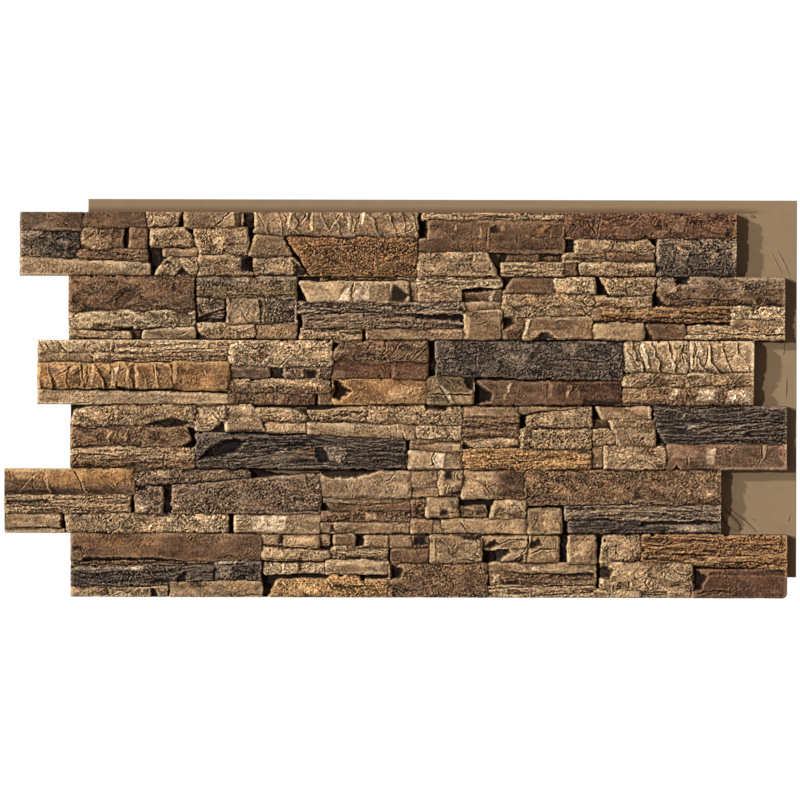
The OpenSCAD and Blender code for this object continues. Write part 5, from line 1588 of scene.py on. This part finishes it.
def close_back(skin):
    """Extrudes the rim of the grid to the lap plane and fills it."""
    bpy.ops.object.mode_set(mode="EDIT")
    bpy.ops.mesh.select_mode(type="EDGE")
    bpy.ops.mesh.select_all(action="DESELECT")
    bpy.ops.mesh.select_non_manifold()
    bpy.ops.mesh.extrude_edges_move(TRANSFORM_OT_translate={"value": (0, 0, -0.0015)})
    bpy.ops.mesh.extrude_edges_move()
    bpy.ops.transform.resize(value=(1, 1, 0), center_override=(0, 0, LAP_PLANE / 1000), orient_type="GLOBAL")
    bpy.ops.mesh.edge_face_add()
    bpy.ops.mesh.select_all(action="SELECT")
    bpy.ops.mesh.normals_make_consistent(inside=False)
    bpy.ops.object.mode_set(mode="OBJECT")


def paint_walls(skin, first):
    """Sprays the sides, whose points come after those of the grid, in soft patches of brown."""
    paint = skin.data.color_attributes["paint"].data
    total = len(skin.data.vertices)
    places = np.empty(total * 3, np.float32)
    skin.data.vertices.foreach_get("co", places)
    x, y, z = (places.reshape(-1, 3)[first:] * 1000).T
    patch = np.clip(0.5 + 0.9 * rough((x + y) / 23, z / 11, 961, 2), 0, 1)[:, None]
    rgba = np.empty(total * 4, np.float32)
    paint.foreach_get("color", rgba)
    rgba = rgba.reshape(-1, 4)
    rgba[first:, :3] = tone("6e553c") * patch + tone("4c3828") * (1 - patch)
    paint.foreach_set("color", rgba.ravel())
    print(skin.name, "sides from", round(float(z.min()), 1), "to", round(float(z.max()), 1), "mm")


skins = [make_course(c) for c in range(len(START))]
for skin in skins:
    print(skin.name, len(skin.data.polygons), "faces")

# %% [markdown]
# ## The back plate
# Behind the stones the moulding is a plain plate that reaches past them as two flanges. It is a cube
# primitive at its size, with its edges broken by a bevel. A thin block under each course closes the
# step between the plate and the lap plane. The open flange isn't quite plain: the mould left a few
# low ridges on it, which are stretched spheres sunk to their middle, and a strip along its edge.

# %% Plate
def add_block(name, x0, x1, y0, y1, z0, z1):
    bpy.ops.object.select_all(action="DESELECT")
    bpy.ops.mesh.primitive_cube_add(size=1, location=(0, 0, 0))
    block = bpy.context.object
    block.name = name
    block.data.name = name
    size = ((x1 - x0) / 1000, (y1 - y0) / 1000, (z1 - z0) / 1000)
    place = (((x0 + x1) / 2 - MIDDLE_X) / 1000, ((y0 + y1) / 2 - MIDDLE_Y) / 1000, (z0 + z1) / 2000)
    bpy.ops.object.mode_set(mode="EDIT")
    bpy.ops.transform.resize(value=size)
    bpy.ops.transform.translate(value=place)
    bpy.ops.object.mode_set(mode="OBJECT")
    return block


plate = add_block("back_plate", PLATE_LEFT, LENGTH, PLATE_BOTTOM, HEIGHT, 0, FLANGE)
bevel = plate.modifiers.new("broken_edges", "BEVEL")
bevel.width = 0.0012
bevel.segments = 3
bpy.ops.object.modifier_apply(modifier=bevel.name)

extras = [add_block("edge_strip", 1223, 1232.4, PLATE_BOTTOM + 0.6, 398, 7, 8.6)]
for c in range(len(START)):
    foot = max(course_foot(c), PLATE_BOTTOM) + 0.6
    extras.append(add_block(
        f"pad_{c + 1}", PLATE_LEFT + 0.6, START[c] + COVERAGE - 1.6, foot, course_foot(c) + COURSE - 0.6, 7, 9.4))

# from and to on the rulers, width and height
RIDGES = [
    (1201, 545, 1222, 502, 4, 1.4),
    (1190, 543, 1211, 502, 4, 1.0),
    (1154, 599, 1168, 594, 5, 3),
    (1116, 147, 1172, 103, 7, 3.5),
    (1116, 134, 1146, 106, 16, 7),
    (1150, 603, 1172, 603, 3, 1.2),
    (1157, 127, 1171, 122, 2.5, 1.4),
    (1219, 120, 1223, 132, 3, 1.6),
    (1212, 378, 1213, 402, 2, 1.6),
    (1216, 312, 1217, 344, 2, 1.6),
]
for x0, y0, x1, y1, width, height in RIDGES:
    bpy.ops.object.select_all(action="DESELECT")
    bpy.ops.mesh.primitive_uv_sphere_add(
        segments=20, ring_count=10, radius=0.0005,
        location=(((x0 + x1) / 2 - MIDDLE_X) / 1000, ((y0 + y1) / 2 - MIDDLE_Y) / 1000, FLANGE / 1000),
        rotation=(0, 0, math.atan2(y1 - y0, x1 - x0)))
    mound = bpy.context.object
    mound.scale = (math.hypot(x1 - x0, y1 - y0), width, 2 * height)
    bpy.ops.object.transform_apply(location=True, rotation=True, scale=True)
    extras.append(mound)
bpy.ops.object.select_all(action="DESELECT")
for extra in extras:
    extra.select_set(True)
plate.select_set(True)
bpy.context.view_layer.objects.active = plate
bpy.ops.object.join()
print("plate", len(plate.data.polygons), "faces,", len(RIDGES), "ridges")

# %% [markdown]
# ## Materials
# The painted relief carries its colour as an attribute on the points, and the material adds what is
# finer than the points: a mineral grain in colour and height, and a roughness that changes with it.

# %% Shared effect: mineral grain
def make_grain_group():
    group = bpy.data.node_groups.new("mineral_grain", "ShaderNodeTree")
    group.interface.new_socket("Colour", in_out="INPUT", socket_type="NodeSocketColor")
    size = group.interface.new_socket("Size", in_out="INPUT", socket_type="NodeSocketFloat")
    size.default_value = 900
    amount = group.interface.new_socket("Amount", in_out="INPUT", socket_type="NodeSocketFloat")
    amount.default_value = 0.2
    relief = group.interface.new_socket("Relief", in_out="INPUT", socket_type="NodeSocketFloat")
    relief.default_value = 1
    group.interface.new_socket("Colour", in_out="OUTPUT", socket_type="NodeSocketColor")
    group.interface.new_socket("Height", in_out="OUTPUT", socket_type="NodeSocketFloat")
    group.interface.new_socket("Roughness", in_out="OUTPUT", socket_type="NodeSocketFloat")
    nodes = group.nodes
    links = group.links
    entry = nodes.new("NodeGroupInput")
    leave = nodes.new("NodeGroupOutput")
    place = nodes.new("ShaderNodeTexCoord")
    noise = nodes.new("ShaderNodeTexNoise")
    noise.inputs["Detail"].default_value = 4
    noise.inputs["Roughness"].default_value = 0.65
    links.new(place.outputs["Object"], noise.inputs["Vector"])
    links.new(entry.outputs["Size"], noise.inputs["Scale"])
    spread = nodes.new("ShaderNodeMapRange")
    spread.inputs["From Min"].default_value = 0.3
    spread.inputs["From Max"].default_value = 0.7
    spread.inputs["To Min"].default_value = -1
    spread.inputs["To Max"].default_value = 1
    links.new(noise.outputs["Fac"], spread.inputs["Value"])
    scaled = nodes.new("ShaderNodeMath")
    scaled.operation = "MULTIPLY_ADD"
    scaled.inputs[2].default_value = 1
    links.new(spread.outputs["Result"], scaled.inputs[0])
    links.new(entry.outputs["Amount"], scaled.inputs[1])
    tint = nodes.new("ShaderNodeVectorMath")
    tint.operation = "SCALE"
    links.new(entry.outputs["Colour"], tint.inputs[0])
    links.new(scaled.outputs[0], tint.inputs["Scale"])
    gloss = nodes.new("ShaderNodeMapRange")
    gloss.inputs["To Min"].default_value = 0.72
    gloss.inputs["To Max"].default_value = 0.95
    links.new(noise.outputs["Fac"], gloss.inputs["Value"])
    links.new(tint.outputs[0], leave.inputs["Colour"])
    grains = nodes.new("ShaderNodeTexVoronoi")
    links.new(place.outputs["Object"], grains.inputs["Vector"])
    links.new(entry.outputs["Size"], grains.inputs["Scale"])
    bumps = nodes.new("ShaderNodeMath")
    bumps.operation = "MULTIPLY_ADD"
    bumps.inputs[1].default_value = -0.35
    links.new(grains.outputs["Distance"], bumps.inputs[0])
    links.new(noise.outputs["Fac"], bumps.inputs[2])
    lifted = nodes.new("ShaderNodeMath")
    lifted.operation = "MULTIPLY"
    links.new(bumps.outputs[0], lifted.inputs[0])
    links.new(entry.outputs["Relief"], lifted.inputs[1])
    links.new(lifted.outputs[0], leave.inputs["Height"])
    links.new(gloss.outputs["Result"], leave.inputs["Roughness"])
    return group


grain = make_grain_group()
print("group sockets:", [s.name for s in grain.interface.items_tree])

# %% Painted stone
def new_material(name):
    material = bpy.data.materials.new(name)
    material.use_nodes = True
    return material, material.node_tree.nodes, material.node_tree.links, material.node_tree.nodes["Principled BSDF"]


def add_grain(nodes, links, shader, colour, size, amount, bump):
    effect = nodes.new("ShaderNodeGroup")
    effect.node_tree = grain
    effect.inputs["Size"].default_value = size
    effect.inputs["Amount"].default_value = amount
    if colour is not None:
        links.new(colour, effect.inputs["Colour"])
    links.new(effect.outputs["Colour"], shader.inputs["Base Color"])
    links.new(effect.outputs["Roughness"], shader.inputs["Roughness"])
    rise = nodes.new("ShaderNodeBump")
    rise.inputs["Distance"].default_value = bump
    rise.inputs["Strength"].default_value = 1.0
    links.new(effect.outputs["Height"], rise.inputs["Height"])
    links.new(rise.outputs["Normal"], shader.inputs["Normal"])
    return effect


stone_paint, nodes, links, shader = new_material("painted_stone")
attribute = nodes.new("ShaderNodeVertexColor")
attribute.layer_name = "paint"
effect = add_grain(nodes, links, shader, attribute.outputs["Color"], 270, 0.3, 0.0024)
grit = nodes.new("ShaderNodeAttribute")
grit.attribute_name = "grit"
more = nodes.new("ShaderNodeMath")
more.operation = "MULTIPLY"
more.inputs[1].default_value = 0.65
links.new(grit.outputs["Fac"], more.inputs[0])
links.new(more.outputs[0], effect.inputs["Amount"])
links.new(grit.outputs["Fac"], effect.inputs["Relief"])
shader.inputs["Specular IOR Level"].default_value = 0.25
for skin in skins:
    skin.data.materials.clear()
    skin.data.materials.append(stone_paint)
    bpy.ops.object.select_all(action="DESELECT")
    bpy.context.view_layer.objects.active = skin
print("stone paint on", len(skins), "skins")

# %% Flange foam
flange_foam, nodes, links, shader = new_material("flange_foam")
effect = add_grain(nodes, links, shader, None, 60, 0.06, 0.0002)
place = nodes.new("ShaderNodeTexCoord")
parts = nodes.new("ShaderNodeSeparateXYZ")
links.new(place.outputs["Object"], parts.inputs[0])


def band(axis, start, end, most):
    """A value that rises from 0 at one ruler place to most at another."""
    ramp = nodes.new("ShaderNodeMapRange")
    ramp.inputs["From Min"].default_value = start
    ramp.inputs["From Max"].default_value = end
    ramp.inputs["To Max"].default_value = most
    links.new(parts.outputs[axis], ramp.inputs["Value"])
    return ramp.outputs["Result"]


top_line = COURSE * len(START) - MIDDLE_Y
# A brown band along the top flange, just above the stones.
top_flange_band = band("Y", (top_line + 10) / 1000, (top_line + 2) / 1000, 0.75)
for limit in (band("Y", (top_line - 3) / 1000, top_line / 1000, 1), band("X", 0.57, 0.53, 1)):
    product = nodes.new("ShaderNodeMath")
    product.operation = "MULTIPLY"
    links.new(top_flange_band, product.inputs[0])
    links.new(limit, product.inputs[1])
    top_flange_band = product.outputs[0]
mixed = nodes.new("ShaderNodeMix")
mixed.data_type = "RGBA"
links.new(top_flange_band, mixed.inputs["Factor"])
mixed.inputs[6].default_value = (0.264, 0.179, 0.097, 1)
mixed.inputs[7].default_value = (0.12, 0.062, 0.03, 1)
links.new(mixed.outputs[2], effect.inputs["Colour"])
shader.inputs["Specular IOR Level"].default_value = 0.3
plate.data.materials.append(flange_foam)
print("flange foam ready")

# %% [markdown]
# ## Floor and light
# The panel lies on a light table, so the floor is white and takes no shadow. In the photograph each stone throws two shadows on the end
# flange, one short and dark and one long and faint, so there are two lamps from the left, one high
# and one low, and a pale surround fills the rest.

# %% Studio
bpy.ops.object.select_all(action="DESELECT")
bpy.ops.mesh.primitive_plane_add(size=14, location=(0, 0, -0.0004))
floor = bpy.context.object
floor.name = "studio_floor"
paper, nodes, links, shader = new_material("studio_paper")
shader.inputs["Base Color"].default_value = (0.02, 0.02, 0.02, 1)
shader.inputs["Roughness"].default_value = 1.0
shader.inputs["Specular IOR Level"].default_value = 0
shader.inputs["Emission Color"].default_value = (1, 1, 1, 1)
shader.inputs["Emission Strength"].default_value = 1.0
clear = nodes.new("ShaderNodeBsdfTransparent")
side = nodes.new("ShaderNodeNewGeometry")
choice = nodes.new("ShaderNodeMixShader")
links.new(side.outputs["Backfacing"], choice.inputs["Fac"])
links.new(shader.outputs["BSDF"], choice.inputs[1])
links.new(clear.outputs["BSDF"], choice.inputs[2])
links.new(choice.outputs["Shader"], nodes["Material Output"].inputs["Surface"])
floor.data.materials.append(paper)


def add_sun(name, towards, strength, angle):
    bpy.ops.object.light_add(type="SUN", location=towards)
    lamp = bpy.context.object
    lamp.name = name
    lamp.data.energy = strength
    lamp.data.angle = math.radians(angle)
    x, y, z = towards
    lamp.rotation_euler = (math.atan2(math.hypot(x, y), z), 0, math.atan2(y, x) + math.pi / 2)
    return lamp


high_lamp = add_sun("high_lamp", (-20.2, 4.7, 27), 1.95, 2.0)
low_lamp = add_sun("low_lamp", (-42, 18.6, 27), 2.85, 2.5)
world = bpy.data.worlds.new("surround")
bpy.context.scene.world = world
world.use_nodes = True
world.node_tree.nodes["Background"].inputs["Color"].default_value = (1, 0.86, 0.84, 1)
world.node_tree.nodes["Background"].inputs["Strength"].default_value = 0.22
scene = bpy.context.scene
scene.view_settings.view_transform = "Standard"
scene.view_settings.look = "None"
print("lamps", high_lamp.name, low_lamp.name)

# %% [markdown]
# ## Riding on the body
# Every piece rides on the panel's one body. The skins and the plate together stand for the CAD solid,
# which is hidden.

# %% Ride on the body
for piece in skins + [plate]:
    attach(piece, "root")
    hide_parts("stone_panel")
